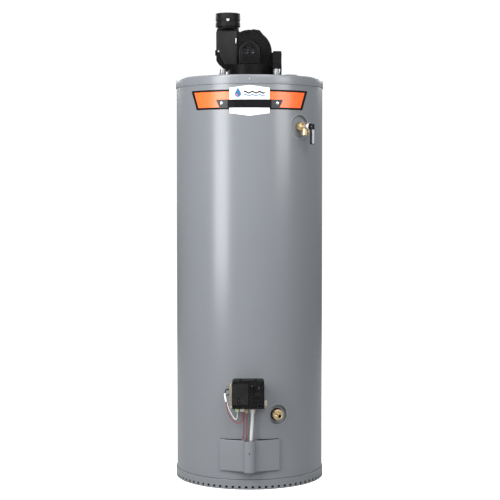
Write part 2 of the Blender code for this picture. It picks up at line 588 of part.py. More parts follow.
def make_relief_valve():
    make_dish("relief_dish", RELIEF_DISH, RELIEF_DISH_R, RELIEF, 0.0135)
    body = place(rod("relief_valve_body", 0.0145, -0.3130, -0.2750, "y", sides=SEG_SMALL, mat=BRASS),
                 (0, 0, 0), RELIEF)
    bonnet_face = -0.3265
    additions = (
        rod("relief_shank", 0.0125, -0.2760, -0.2200, "y"),
        rod("relief_hex", 0.0185, -0.2860, -0.2705, "y", sides=6),
        rod("relief_bonnet", 0.0150, bonnet_face, -0.3120, "y", sides=20),
        rod("relief_discharge", 0.0135, -0.0320, 0.0, "z", (0, -0.2995)),
    )
    join(body, *[place(piece, (0, 0, 0), RELIEF) for piece in additions])
    bores = (
        rod("relief_inlet_bore", 0.0085, -0.2820, -0.2100, "y"),
        rod("relief_seat_bore", 0.0062, -0.2890, -0.2810, "y"),
        rod("relief_chamber", 0.0105, -0.3240, -0.2885, "y"),
        rod("relief_stem_hole", 0.0034, -0.3300, -0.3230, "y", sides=12),
        rod("relief_discharge_bore", 0.0095, -0.0330, -0.0030, "z", (0, -0.2995)),
    )
    cut(body, *[place(piece, (0, 0, 0), RELIEF) for piece in bores])

    pivot = bpy.data.objects.new("relief_pivot", None)
    PARTS.objects.link(pivot)
    place(pivot, (0, -LEVER_PIVOT_R, 0), RELIEF)
    stem = place(rod("relief_stem", 0.0030, -0.0032, 0.0440, "y", sides=12, mat=BRASS), (0, 0, 0), pivot)
    join(stem, place(rod("relief_disc", 0.0085, 0.0415, 0.0445, "y"), (0, 0, 0), pivot),
         place(rod("relief_pin", 0.0013, -0.0060, 0.0060, "x", (0, 0), 10), (0, 0, 0), pivot))

    turns, per_turn, wire, coil = 4, 8, 0.0008, 0.0070
    steps = turns * per_turn
    coil_points = [(coil * math.cos(2 * math.pi * i / per_turn), -0.2990 - 0.0235 * i / steps,
                    coil * math.sin(2 * math.pi * i / per_turn)) for i in range(steps + 1)]
    place(tube("relief_spring", coil_points, wire, BARE_STEEL, 1), (0, 0, 0), RELIEF)

    # A channel-shaped lever: the rounded top of its cheeks is a cam that climbs 3 mm in a quarter turn.
    cam = []
    for i in range(9):
        angle = -45 + 135 * i / 8
        radius = 0.0064 + 0.0030 * max(angle, 0) / 90
        cam.append((radius * math.cos(math.radians(angle)), radius * math.sin(math.radians(angle))))
    half, face, inside, foot = 0.0062, -0.0064, 0.0050, -0.0660
    outline = [(face, foot + 0.004), (face + 0.003, foot), (inside - 0.003, foot), (inside, foot + 0.004),
               (inside, -0.0100)] + cam + [(face, 0.0080)]
    lever = place(plate("relief_lever", [outline], -half, half, "x", BARE_STEEL), (0, 0, 0), pivot)
    channel = box("lever_channel", (-half + 0.0015, face + 0.0015, -0.0800), (half - 0.0015, 0.020, 0.020))
    cut(lever, place(channel, (0, 0, 0), pivot),
        place(rod("lever_pin_hole", 0.0017, -0.01, 0.01, "x", (0, 0), 10), (0, 0, 0), pivot))


def make_drain_valve():
    make_dish("drain_dish", DRAIN, DRAIN_DISH_R, DRAIN, 0.0125)
    body = place(rod("drain_valve_body", 0.0195, -0.2890, -0.2670, "y", sides=20, mat=BRASS),
                 (0, 0, 0), DRAIN)
    offset = -0.0030
    join(body, place(rod("drain_shank", 0.0115, -0.2680, -0.2200, "y"), (0, 0, 0), DRAIN),
         place(rod("drain_nozzle", 0.0125, -0.3000, -0.2880, "y", (0, offset)), (0, 0, 0), DRAIN))
    stem_z, stem_r = 0.0138, 0.0032
    cut(body, place(rod("drain_bore", 0.0065, -0.31, -0.21, "y", (0, offset)), (0, 0, 0), DRAIN),
        place(rod("drain_stem_hole", stem_r + FIT, -0.30, -0.2780, "y", (0, stem_z), 12), (0, 0, 0), DRAIN))
    stem = place(rod("drain_stem", stem_r, -0.0145, 0.0, "y", sides=12, mat=BRASS),
                 (0, -0.2783, stem_z), DRAIN)
    slot = box("drain_stem_slot", (-0.0100, -0.0200, -0.0005), (0.0100, -0.0130, 0.0005))
    cut(stem, place(slot, (0, -0.2783, stem_z), DRAIN))


# ---------------------------------------------------------------- gas control
def make_gas_control():
    well = rod("thermowell", 0.0165, -0.2836, -0.2220, "y", (CONTROL_X, CONTROL_Z), 20, BRASS)
    join(well, rod("thermowell_probe", 0.0060, -0.2230, -0.0600, "y", (CONTROL_X, CONTROL_Z), 12))

    casting = box("gas_valve_casting", (CASTING_LEFT, CASTING_FRONT, CASTING_LOW),
                  (CASTING_RIGHT, CASTING_BACK, CASTING_TOP), CASTING, bevel=0.0030)
    join(casting, rod("gas_inlet_boss", 0.0140, 0.0440, 0.0640, "x", (INLET_Y, INLET_Z), 8),
         rod("gas_outlet_boss", 0.0110, CASTING_LOW - 0.0055, CASTING_LOW + 0.0050, "z",
             (GAS_TUBE_X, -0.3010), 6))
    cut(casting, rod("gas_inlet_bore", INLET_BORE, 0.0400, 0.0700, "x", (INLET_Y, INLET_Z)))

    def cover_outline(inset):
        big, small = 0.0090 - inset, max(0.0030 - inset, 0.0005)
        left, right = COVER_LEFT + inset, COVER_RIGHT - inset
        low, top = COVER_LOW + inset, COVER_TOP - inset
        return (arc(small, 180, 270, 2, (left + small, low + small))
                + arc(small, 270, 360, 2, (right - small, low + small))
                + arc(big, 0, 90, 4, (right - big, top - big))
                + arc(big, 90, 180, 4, (left + big, top - big)))

    cover = plate("control_cover", [cover_outline(0.0)], COVER_FRONT, COVER_BACK, "y", BLACK_PLASTIC)
    wall = 0.0025
    for name, x in (("left", -0.0320), ("right", 0.0215)):
        join(cover, box(f"cover_clip_{name}", (x - 0.004, -0.3650, COVER_TOP - 0.002),
                        (x + 0.004, -0.3400, COVER_TOP + 0.0030)))
    cut(cover, plate("cover_cavity", [cover_outline(wall)], COVER_FRONT + wall, -0.3000, "y"),
        rod("dial_hole", 0.0045, -0.39, -0.36, "y", (0.0090, 0.3888), 12),
        rod("button_hole", 0.0103, -0.39, -0.36, "y", (0.0315, 0.3616), 20),
        box("switch_slot", (0.0285, -0.39, 0.3205), (0.0395, -0.36, 0.3305)),
        box("service_slot", (-0.0440, -0.39, 0.3350), (-0.0350, -0.36, 0.3530)),
        box("cover_seam", (-0.0042, -0.39, 0.30), (-0.0030, COVER_FRONT + 0.0008, 0.43)))

    dial_at = (0.0090, COVER_FRONT, 0.3888)
    dial = place(rod("temperature_dial", 0.0100, -0.0080, -0.0003, "y", sides=20, mat=BLACK_PLASTIC),
                 dial_at)
    join(dial, place(rod("dial_stem", 0.0040, -0.0020, 0.0100, "y", sides=12), dial_at))
    cut(dial, place(box("dial_pointer", (-0.0008, -0.0100, 0.0020), (0.0008, -0.0070, 0.0120)), dial_at))
    place(rod("set_button", 0.0100, -0.0035, 0.0110, "y", sides=20, mat=BLACK_PLASTIC),
          (0.0315, COVER_FRONT, 0.3616))
    place(box("power_switch", (-0.0022, -0.0012, -0.0047), (0.0022, 0.0080, 0.0047), BLACK_PLASTIC),
          (0.0310, COVER_FRONT, 0.3255))


def make_leads():
    """Leads held between the gas control and the burner door."""
    spacing = 0.0110
    sleeve = [(-0.0890, -0.3050, 0.3590), (-0.0870, -0.3050, 0.3440), (-0.0845, -0.3050, 0.3285)]
    tube("lead_sleeve", sleeve, 0.0046, WHITE_PLASTIC, 2)
    red = [(-0.0858, -0.3050, 0.3278), (-0.0820, -0.3060, 0.3085), (-0.0748, -0.3110, 0.2830),
           (-0.0600, -0.3210, 0.2625), (-0.0430, -0.3270, 0.2545), (-0.0290, -0.3330, 0.2600),
           (-0.0225, -0.3390, 0.2750), (-0.0260, -0.3440, 0.2930), (-0.0290, -0.3460, 0.3075)]
    tube("lead_red", smooth_route(red, spacing), 0.0018, RED_WIRE, 1)
    white = [(-0.0820, -0.3050, 0.3276), (-0.0782, -0.3060, 0.3100), (-0.0675, -0.3110, 0.2880),
             (-0.0530, -0.3190, 0.2680), (-0.0455, -0.3320, 0.2720), (-0.0440, -0.3420, 0.2880),
             (-0.0450, -0.3460, 0.3075)]
    tube("lead_white", smooth_route(white, spacing), 0.0014, WHITE_PLASTIC, 1)
    black = [(-0.0735, -0.3060, 0.3700), (-0.0790, -0.3080, 0.3745), (-0.0860, -0.3070, 0.3710),
             (-0.0893, -0.3050, 0.3597)]
    tube("lead_black", smooth_route(black, 0.0055), 0.0020, BLACK_RUBBER, 1)
    hot = [(-0.0087, -0.3080, CASTING_LOW - 0.0006), (-0.0092, -0.3075, 0.2600), (-0.0112, -0.3040, 0.2000),
           (-0.0150, -0.2960, 0.1650), (-0.0230, -0.2800, 0.1500), (-0.0310, -0.2600, ELECTRODE_Z),
           (IGNITER_X, -0.2465, ELECTRODE_Z)]
    tube("igniter_lead", smooth_route(hot, 0.014), LEAD_R, RED_WIRE, 1)
    sense = [(-0.0200, -0.3050, CASTING_LOW - 0.0006), (-0.0205, -0.3020, 0.2600),
             (-0.0215, -0.2930, 0.2000),
             (-0.0300, -0.2850, 0.1750), (-0.0450, -0.2700, 0.1570), (-0.0540, -0.2560, ELECTRODE_Z),
             (SENSOR_X, -0.2465, ELECTRODE_Z)]
    tube("sensor_lead", smooth_route(sense, 0.014), LEAD_R, RED_WIRE, 1)


# ---------------------------------------------------------------- blower
def scroll_outline(inset, top):
    """The volute with its outlet duct on the left, seen from the front and shrunk by inset."""
    def radius(swept):
        return SCROLL_R + SCROLL_GROWTH * (swept / 300) ** SCROLL_POWER - inset

    right = DUCT_RIGHT - inset
    start = math.degrees(math.acos(right / radius(0)))
    points = []
    steps = 34
    for i in range(steps + 1):
        angle = start + (-165 - start) * i / steps
        x, z = arc(radius(max(135 - angle, 0)), angle, angle, 1, (0, SHAFT_Z))[0]
        points.append((x, max(z, SCROLL_FLOOR + inset)))
    floor = [point for point in points if point[1] <= SCROLL_FLOOR + inset]
    points = [point for point in points if point not in floor[1:-1]]
    left = DUCT_LEFT + inset
    return points + [(left, SHAFT_Z + 0.0120), (left, top), (right, top)]


def make_blower_housing():
    wall = PLASTIC
    hood = turned("blower_hood", [(0.0, HOOD_TOP), (HOOD_R - 0.003, HOOD_TOP), (HOOD_R, HOOD_TOP - 0.003),
                                  (HOOD_R, HOOD_LOW), (HOOD_R - wall, HOOD_LOW),
                                  (HOOD_R - wall, HOOD_TOP - 0.004), (HOOD_R - 0.004, HOOD_TOP - wall),
                                  (0.0, HOOD_TOP - wall)], BLACK_PLASTIC, SEG_HOOD, closed=False)
    cut(hood, box("hood_scroll_slot", (-0.10, SCROLL_FRONT - FIT, SCROLL_FLOOR - FIT),
                  (0.10, SCROLL_REAR + FIT, 1.60)),
        box("hood_port", (-0.0320, 0.0475, 1.5500), (0.0320, 0.0765, 1.60)))

    front = plate("scroll_front", [scroll_outline(0.0, DUCT_TOP)], SCROLL_FRONT, SCROLL_SPLIT, "y",
                  BLACK_PLASTIC)
    hollow = scroll_outline(wall, DUCT_TOP + 0.01)
    cut(front, plate("scroll_front_cavity", [hollow], SCROLL_FRONT + wall, 0.05, "y"),
        rod("scroll_shaft_hole", SHAFT_R + 0.002, -0.03, 0.0, "y", (0, SHAFT_Z)))
    rear = plate("scroll_rear", [scroll_outline(0.0, DUCT_TOP)], SCROLL_SPLIT + FIT, SCROLL_REAR, "y",
                 BLACK_PLASTIC)
    cut(rear, plate("scroll_rear_cavity", [hollow], -0.05, SCROLL_REAR - wall, "y"),
        rod("scroll_eye", 0.0320, 0.03, 0.06, "y", (0, SHAFT_Z), SEG_MEDIUM))

    half, low = 0.0360, HOOD_TOP + FIT
    arch = arc(half, 0, 180, 12, (0, SHAFT_Z)) + [(-half, low), (half, low)]
    hollow = arc(half - wall, 0, 180, 12, (0, SHAFT_Z)) + [(-half + wall, 1.50), (half - wall, 1.50)]
    plenum = plate("inlet_plenum", [arch], SCROLL_REAR + FIT, 0.0800, "y", BLACK_PLASTIC)
    cut(plenum, plate("plenum_cavity", [hollow], 0.03, 0.0800 - wall, "y"))


def make_vent_outlet():
    """The adapter turns the duct's rectangle into a circle; the rubber coupling grips it and the vent."""
    wall, sides = PLASTIC, 32
    low, flare, top = DUCT_TOP + FIT, DUCT_TOP + 0.0090, VENT_STOP - 0.0040
    half_x, half_y = (DUCT_RIGHT - DUCT_LEFT) / 2, (SCROLL_REAR - SCROLL_FRONT) / 2

    def square_section(angle, inset):
        c, s = math.cos(angle), math.sin(angle)
        reach = min((half_x - inset) / max(abs(c), 1e-6), (half_y - inset) / max(abs(s), 1e-6))
        return reach * c, reach * s

    def round_section(angle, inset):
        return (SPIGOT_R - inset) * math.cos(angle), (SPIGOT_R - inset) * math.sin(angle)

    mesh = bpy.data.meshes.new("outlet_adapter")
    form = bmesh.new()
    loops = []
    levels = ((square_section, low, 0), (round_section, flare, 0), (round_section, top, 0),
              (round_section, top, wall), (round_section, flare, wall), (square_section, low, wall))
    for section, height, inset in levels:
        angles = [2 * math.pi * (i + 0.5) / sides for i in range(sides)]
        loops.append([form.verts.new((*section(a, inset), height)) for a in angles])
    for below, above in zip(loops, loops[1:] + loops[:1]):
        for i in range(sides):
            j = (i + 1) % sides
            form.faces.new((below[i], below[j], above[j], above[i]))
    bmesh.ops.recalc_face_normals(form, faces=form.faces)
    form.to_mesh(mesh)
    form.free()
    place(add("outlet_adapter", mesh, BLACK_PLASTIC), (VENT_X, VENT_Y, 0))

    grip, stop, mid = SPIGOT_R + 0.0006, VENT_STOP, VENT_GROOVE_Z
    groove = [(VENT_R, mid + 0.0045), (VENT_R - 0.0016, mid + 0.0025), (VENT_R - 0.0016, mid - 0.0025),
              (VENT_R, mid - 0.0045)]
    profile = [(VENT_BORE, VENT_TOP), (VENT_R, VENT_TOP)] + groove + [
        (VENT_R, VENT_LOW), (grip, VENT_LOW), (grip, stop - 0.002), (grip - 0.002, stop - 0.001),
        (grip - 0.002, stop), (VENT_BORE, stop)]
    coupling = place(turned("vent_coupling", profile, BLACK_RUBBER, SEG_MEDIUM), (VENT_X, VENT_Y, 0))
    view = rod("coupling_port", 0.0065, -0.09, 0.09, "y", (0, 0), 10)
    place(view, (VENT_X, VENT_Y, 1.7525), turn=(math.radians(6.6), 0, 0))
    cut(coupling, view)


def paddle_outline(hub, tip, blades, thickness):
    """A hub with straight radial blades."""
    outline = []
    for blade in range(blades):
        middle = 2 * math.pi * blade / blades
        base, end = thickness / 2 / hub, thickness / 2 / tip
        for radius, angle in ((hub, middle - base), (tip, middle - end), (tip, middle + end),
                              (hub, middle + base)):
            outline.append((radius * math.cos(angle), radius * math.sin(angle)))
    return outline


def make_blower_motor():
    axis = bpy.data.objects.new("blower_axis", None)
    PARTS.objects.link(axis)
    place(axis, (0, 0, SHAFT_Z))
    bore = arc(SHAFT_R + 0.0004, 0, 324, 9)
    wheel = plate("blower_wheel", [paddle_outline(0.0130, 0.0600, 10, 0.0030), bore], -0.0120, 0.0330, "y",
                  BARE_STEEL)
    join(place(wheel, parent=axis),
         place(plate("wheel_disc", [arc(0.0600, 0, 340, 17), bore], -0.0150, -0.0110, "y"), parent=axis))
    fan = plate("cooling_fan", [paddle_outline(0.0080, 0.0250, 6, 0.0030), bore], -0.0735, -0.0665, "y",
                GREY_PLASTIC)
    place(fan, parent=axis)
    place(rod("motor_shaft", SHAFT_R, -0.0745, 0.0350, "y", sides=12, mat=BARE_STEEL), parent=axis)

    motor = rod("blower_motor", 0.0290, -0.0600, -0.0235, "y", (0, SHAFT_Z), SEG_MEDIUM, BARE_STEEL)
    cut(motor, rod("motor_bore", SHAFT_R + FIT, -0.07, 0.0, "y", (0, SHAFT_Z), 12))

    half, low, wall = MOTOR_COVER_HALF, HOOD_TOP + FIT, 0.0022
    arch = arc(half, 0, 180, 12, (0, SHAFT_Z)) + [(-half, low), (half, low)]
    hollow = arc(half - wall, 0, 180, 12, (0, SHAFT_Z))
    hollow += [(-half + wall, low + wall), (half - wall, low + wall)]
    cover = plate("motor_cover", [arch], MOTOR_COVER_FRONT, SCROLL_FRONT - FIT, "y", BLACK_PLASTIC)
    cut(cover, plate("motor_cover_cavity", [hollow], MOTOR_COVER_FRONT + wall, 0.0, "y"))
    for side, left in (("left", -0.0220), ("right", 0.0040)):
        for row in range(3):
            low = 1.6140 + 0.0090 * row
            cut(cover, box(f"motor_vent_{side}_{row}", (left, -0.10, low),
                           (left + 0.0180, -0.07, low + 0.0040)))


def make_junction_box():
    left, right, half, low, top, wall = 0.0887, 0.1222, 0.0450, LID_TOP + FIT, 1.6260, 0.0025
    switch_x, switch_z = 0.1055, 1.5850
    case = box("junction_box", (left, -half, low), (right, half, top), BLACK_PLASTIC)
    corner = case.modifiers.new("corners", "BEVEL")
    corner.width = 0.0050
    corner.segments = 2
    cut(case, box("junction_box_cavity", (left + wall, -half + wall, 1.50),
                  (right - wall, half - wall, top - wall)))
    switch = rod("pressure_switch", 0.0145, half + FIT * 2, 0.0640, "y", (switch_x, switch_z), 20,
                 BLACK_PLASTIC)
    join(switch, rod("switch_nipple", 0.0030, 0.0630, 0.0720, "y", (switch_x, switch_z), 10))


make_base()
make_cabinet()
make_label()
make_tank()
make_baffle()
make_water_fittings()
make_burner()
make_burner_door()
make_relief_valve()
make_drain_valve()
make_gas_control()
make_leads()
make_blower_housing()
make_vent_outlet()
make_blower_motor()
make_junction_box()
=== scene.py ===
"""Looks of the power-vented tank water heater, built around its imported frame.

Finishes come first, then the mesh building, then one function for each part of the heater, then the stage.

Metres, +Z up, the front of the heater faces -Y, the origin is the centre of the base on the floor.
"""
import json
import math

import bmesh
import bpy
from mathutils import Matrix, Vector


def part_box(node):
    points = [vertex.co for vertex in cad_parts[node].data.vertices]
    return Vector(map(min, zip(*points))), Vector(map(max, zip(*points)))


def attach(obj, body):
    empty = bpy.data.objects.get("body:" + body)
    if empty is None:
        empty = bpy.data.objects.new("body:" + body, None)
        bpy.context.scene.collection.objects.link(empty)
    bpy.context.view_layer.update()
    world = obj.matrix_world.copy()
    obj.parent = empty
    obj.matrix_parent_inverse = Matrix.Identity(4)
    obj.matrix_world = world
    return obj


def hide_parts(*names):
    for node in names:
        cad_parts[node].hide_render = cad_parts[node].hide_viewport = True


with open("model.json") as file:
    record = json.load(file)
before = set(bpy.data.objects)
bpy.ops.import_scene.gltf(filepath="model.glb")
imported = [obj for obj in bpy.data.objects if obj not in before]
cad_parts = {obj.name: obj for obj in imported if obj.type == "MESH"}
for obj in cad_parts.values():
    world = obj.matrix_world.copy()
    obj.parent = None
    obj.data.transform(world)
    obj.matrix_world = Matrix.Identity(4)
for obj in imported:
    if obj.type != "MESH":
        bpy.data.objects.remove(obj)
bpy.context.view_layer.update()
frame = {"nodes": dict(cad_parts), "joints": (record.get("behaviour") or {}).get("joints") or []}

JOINTS = {joint["name"]: joint for joint in frame["joints"]}
SCENE = bpy.context.scene
SIDES = 288                  # sides of the large round panels
OUT = Matrix.Rotation(math.radians(90), 4, "X")      # turns +Z to -Y, out of the front
BACK = Matrix.Rotation(math.radians(-90), 4, "X")
RIGHT = Matrix.Rotation(math.radians(90), 4, "Y")
LEFT_RIGHT = (-1, "left"), (1, "right")
DOWN = Matrix.Rotation(math.radians(180), 4, "X")


# ---------------------------------------------------------------- positions read from the frame
def middle(node):
    low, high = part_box(node)
    return (low + high) / 2


def height_of(node):
    low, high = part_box(node)
    return high.z - low.z


def turned(degrees):
    return Matrix.Rotation(math.radians(degrees), 4, "Z")


def out_at(x, z):
    """Turn +Z out of the front, at this x and height."""
    return Matrix.Translation((x, 0, z)) @ OUT


def upright_at(spot):
    return Matrix.Translation((spot.x, spot.y, 0))


def out_frame(joint, height):
    """A frame whose -Y points out of the cabinet along a joint's axis."""
    axis = Vector(JOINTS[joint]["axis"])
    azimuth = math.atan2(axis.x, -axis.y)
    return Matrix.Translation((0, 0, height)) @ Matrix.Rotation(azimuth, 4, "Z")


JACKET_LOW, JACKET_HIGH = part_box("jacket")
JACKET_R = JACKET_HIGH.x
SHEET = 0.0012
RELIEF = out_frame("relief_stem_lift", middle("relief_dish").z)
RELIEF_DISH_AZIMUTH = 41.9   # degrees, a little short of the relief valve's own
RELIEF_DISH = Matrix.Translation((0, 0, middle("relief_dish").z)) @ turned(RELIEF_DISH_AZIMUTH)
DRAIN = out_frame("drain_stem_turn", middle("drain_dish").z)
DISH_GAP = 0.0006
RELIEF_HOLE = height_of("relief_dish") / 2 + DISH_GAP
DRAIN_HOLE = height_of("drain_dish") / 2 + DISH_GAP
PIVOT_R = Vector(JOINTS["relief_lever_hinge"]["pos_m"][:2]).length
SHAFT_Z = middle("motor_shaft").z
CONTROL_X, CONTROL_Z = middle("thermowell").x, middle("thermowell").z
VENT = middle("vent_coupling")
PLASTIC_WALL = 0.0025
GAS_TUBE_R = 0.0064
SERVICE_PORT = (-0.044, -0.39, 0.335), (-0.035, -0.36, 0.353)
SWITCH_SLOT = (0.0285, -0.39, 0.3205), (0.0395, -0.36, 0.3305)


def finish(name, colour, rough, metal=0.0, mottle=(6.0, 0.04), rough_vary=0.06, grain=(900.0, 0.05),
        wear=None, coat=0.0, specular=0.5, stretch=(1, 1, 1), transmission=0.0):
    """A procedural finish: large soft colour variation, fine grain, uneven gloss and worn raised edges.

    mottle is (scale, amount), grain is (scale, bump strength), wear is (colour, amount).
    """
    made = bpy.data.materials.new(name)
    made.use_nodes = True
    nodes, links = made.node_tree.nodes, made.node_tree.links
    shader = nodes["Principled BSDF"]
    shader.inputs["Metallic"].default_value = metal
    shader.inputs["Coat Weight"].default_value = coat
    shader.inputs["Coat Roughness"].default_value = 0.12
    shader.inputs["Specular IOR Level"].default_value = specular
    shader.inputs["Transmission Weight"].default_value = transmission
    coords = nodes.new("ShaderNodeTexCoord")
    spread = nodes.new("ShaderNodeMapping")
    spread.inputs["Scale"].default_value = stretch
    links.new(coords.outputs["Object"], spread.inputs["Vector"])

    def noise(scale, detail, source=spread.outputs["Vector"]):
        made_noise = nodes.new("ShaderNodeTexNoise")
        made_noise.inputs["Scale"].default_value = scale
        made_noise.inputs["Detail"].default_value = detail
        links.new(source, made_noise.inputs["Vector"])
        return made_noise.outputs["Fac"]

    def ranged(source, low, high, to_low, to_high):
        mapped = nodes.new("ShaderNodeMapRange")
        for socket, value in zip(("From Min", "From Max", "To Min", "To Max"),
                (low, high, to_low, to_high)):
            mapped.inputs[socket].default_value = value
        links.new(source, mapped.inputs["Value"])
        return mapped.outputs["Result"]

    def mixed(factor, first, second):
        mix = nodes.new("ShaderNodeMix")
        mix.data_type = "RGBA"
        links.new(factor, mix.inputs["Factor"])
        for socket, value in ((mix.inputs[6], first), (mix.inputs[7], second)):
            if isinstance(value, tuple):
                socket.default_value = (*value, 1.0)
            else:
                links.new(value, socket)
        return mix.outputs[2]

    scale, amount = mottle
    dark = tuple(c * (1 - amount) for c in colour)
    light = tuple(min(1.0, c * (1 + amount)) for c in colour)
    tone = mixed(ranged(noise(scale, 3.0), 0.3, 0.7, 0.0, 1.0), dark, light)
    gloss = ranged(noise(scale * 4, 5.0), 0.3, 0.7, max(rough - rough_vary, 0.02), rough + rough_vary)
    if wear:
        worn_colour, worn = wear
        geometry = nodes.new("ShaderNodeNewGeometry")
        raised = ranged(geometry.outputs["Pointiness"], 0.505, 0.56, 0.0, worn)
        patchy = ranged(noise(160.0, 4.0, coords.outputs["Object"]), 0.42, 0.62, 0.15, 1.0)
        mask = nodes.new("ShaderNodeMath")
        mask.operation = "MULTIPLY"
        links.new(raised, mask.inputs[0])
        links.new(patchy, mask.inputs[1])
        tone = mixed(mask.outputs[0], tone, worn_colour)
    links.new(tone, shader.inputs["Base Color"])
    links.new(gloss, shader.inputs["Roughness"])
    bump = nodes.new("ShaderNodeBump")
    bump.inputs["Strength"].default_value = grain[1]
    bump.inputs["Distance"].default_value = 0.0004
    links.new(noise(grain[0], 4.0), bump.inputs["Height"])
    links.new(bump.outputs["Normal"], shader.inputs["Normal"])
    return made


PAINT = finish("cabinet_paint", (0.158, 0.168, 0.182), 0.26, mottle=(3.0, 0.02),
    rough_vary=0.004, grain=(900.0, 0.004), specular=0.5)
LID_PAINT = finish("lid_paint", (0.165, 0.175, 0.19), 0.27, mottle=(9.0, 0.02),
    rough_vary=0.006, grain=(900.0, 0.005), wear=((0.3, 0.31, 0.33), 0.1))
GREY_PLASTIC = finish("moulded_grey_plastic", (0.175, 0.187, 0.205), 0.42,
    mottle=(30.0, 0.04), grain=(1500.0, 0.12), wear=((0.3, 0.31, 0.33), 0.3))
BLACK = finish("moulded_black_plastic", (0.0036, 0.0036, 0.0038), 0.42,
    mottle=(24.0, 0.18), rough_vary=0.07, grain=(1400.0, 0.12), wear=((0.016, 0.016, 0.017), 0.7),
    specular=0.05)
BLACK_SATIN = finish("satin_black_plastic", (0.0085, 0.0085, 0.0088), 0.38,
    mottle=(30.0, 0.12), rough_vary=0.05, grain=(2200.0, 0.1), wear=((0.03, 0.03, 0.031), 0.6),
    specular=0.16)
GLOSS_BLACK = finish("gloss_black_plastic", (0.003, 0.003, 0.0032), 0.2,
    mottle=(40.0, 0.15), rough_vary=0.05, grain=(900.0, 0.04), specular=0.25)
RUBBER = finish("black_rubber", (0.0058, 0.0058, 0.006), 0.5, mottle=(30.0, 0.2),
    rough_vary=0.08, grain=(1100.0, 0.2), wear=((0.02, 0.019, 0.018), 0.5), specular=0.12)
TANK_STEEL = finish("tank_steel", (0.115, 0.122, 0.142), 0.5, 0.35, mottle=(14.0, 0.16),
    rough_vary=0.1, grain=(260.0, 0.12))
PLATED = finish("zinc_plated_steel", (0.6, 0.61, 0.63), 0.26, 1.0, mottle=(60.0, 0.1),
    rough_vary=0.09, grain=(800.0, 0.08), wear=((0.75, 0.76, 0.78), 0.5))
STAINLESS = finish("stainless_steel", (0.66, 0.66, 0.67), 0.34, 0.55, mottle=(50.0, 0.06),
    rough_vary=0.07, grain=(1300.0, 0.1), stretch=(1, 1, 0.08))
POLISHED = finish("bright_plated_steel", (0.62, 0.63, 0.65), 0.3, 1.0, mottle=(40.0, 0.06),
    rough_vary=0.05, grain=(900.0, 0.03))
GALVANISED = finish("galvanised_steel", (0.5, 0.51, 0.53), 0.38, 1.0, mottle=(90.0, 0.18),
    rough_vary=0.12, grain=(400.0, 0.08))
BURNT_STEEL = finish("heat_stained_steel", (0.34, 0.3, 0.27), 0.42, 1.0, mottle=(26.0, 0.3),
    rough_vary=0.12, grain=(500.0, 0.14))
BLACK_STEEL = finish("blackened_steel", (0.01, 0.01, 0.011), 0.34, 0.3, mottle=(60.0, 0.2),
    rough_vary=0.08, grain=(900.0, 0.12), wear=((0.035, 0.035, 0.036), 0.4), specular=0.2)
ALUMINIUM = finish("drawn_aluminium", (0.74, 0.75, 0.76), 0.32, 0.8, mottle=(40.0, 0.05),
    rough_vary=0.07, grain=(900.0, 0.1), stretch=(1, 1, 0.1), wear=((0.95, 0.95, 0.95), 0.3))
CAST = finish("cast_aluminium", (0.29, 0.26, 0.205), 0.52, 0.75, mottle=(34.0, 0.14),
    rough_vary=0.08, grain=(620.0, 0.4), wear=((0.62, 0.58, 0.5), 0.6))
BRASS = finish("machined_brass", (0.78, 0.6, 0.33), 0.27, 1.0, mottle=(70.0, 0.12),
    rough_vary=0.08, grain=(1200.0, 0.1), wear=((0.9, 0.74, 0.44), 0.6))
BRASS_CAST = finish("sand_cast_brass", (0.76, 0.58, 0.33), 0.34, 0.9, mottle=(60.0, 0.16),
    rough_vary=0.1, grain=(700.0, 0.32), wear=((0.88, 0.72, 0.42), 0.6))
WHITE_PLASTIC = finish("white_plastic", (0.74, 0.74, 0.71), 0.42, mottle=(40.0, 0.04),
    grain=(1500.0, 0.1))
WHITE_SLEEVE = finish("woven_glass_sleeve", (0.8, 0.8, 0.77), 0.7, mottle=(600.0, 0.14),
    grain=(1800.0, 0.6))
RED_WIRE = finish("red_insulation", (0.21, 0.02, 0.03), 0.4, mottle=(90.0, 0.12),
    grain=(1200.0, 0.12))
WHITE_WIRE = finish("white_insulation", (0.74, 0.74, 0.7), 0.4, mottle=(90.0, 0.08),
    grain=(1200.0, 0.12))
GREEN_PLASTIC = finish("green_plastic", (0.42, 0.58, 0.44), 0.45, mottle=(120.0, 0.1),
    grain=(1400.0, 0.15))
YELLOW_PLASTIC = finish("yellow_green_plastic", (0.34, 0.36, 0.05), 0.45,
    mottle=(120.0, 0.12), grain=(1400.0, 0.15))
OLIVE_METAL = finish("yellow_zinc_steel", (0.3, 0.26, 0.16), 0.34, 0.9, mottle=(120.0, 0.2),
    rough_vary=0.1, grain=(900.0, 0.12), wear=((0.6, 0.55, 0.38), 0.5))
FOAM = finish("cut_foam", (0.7, 0.58, 0.34), 0.88, mottle=(70.0, 0.16), grain=(260.0, 0.9))
CERAMIC = finish("ceramic", (0.78, 0.76, 0.7), 0.48, mottle=(60.0, 0.06), grain=(900.0, 0.15))
GASKET = finish("fibre_gasket", (0.58, 0.55, 0.49), 0.9, mottle=(220.0, 0.16), grain=(700.0, 0.8))
GLASS = finish("sight_glass", (0.62, 0.7, 0.68), 0.08, mottle=(40.0, 0.05), rough_vary=0.03,
    grain=(300.0, 0.03), transmission=0.6)
AMBER = finish("smoked_lens", (0.02, 0.012, 0.01), 0.1, mottle=(300.0, 0.2), rough_vary=0.03,
    grain=(900.0, 0.02), coat=0.6)
ORANGE = finish("orange_print", (0.88, 0.125, 0.022), 0.3, mottle=(30.0, 0.03), rough_vary=0.05,
    grain=(1200.0, 0.03))
LABEL_BLACK = finish("black_print", (0.008, 0.008, 0.009), 0.32, mottle=(30.0, 0.12),
    rough_vary=0.05, grain=(1200.0, 0.03), specular=0.04)
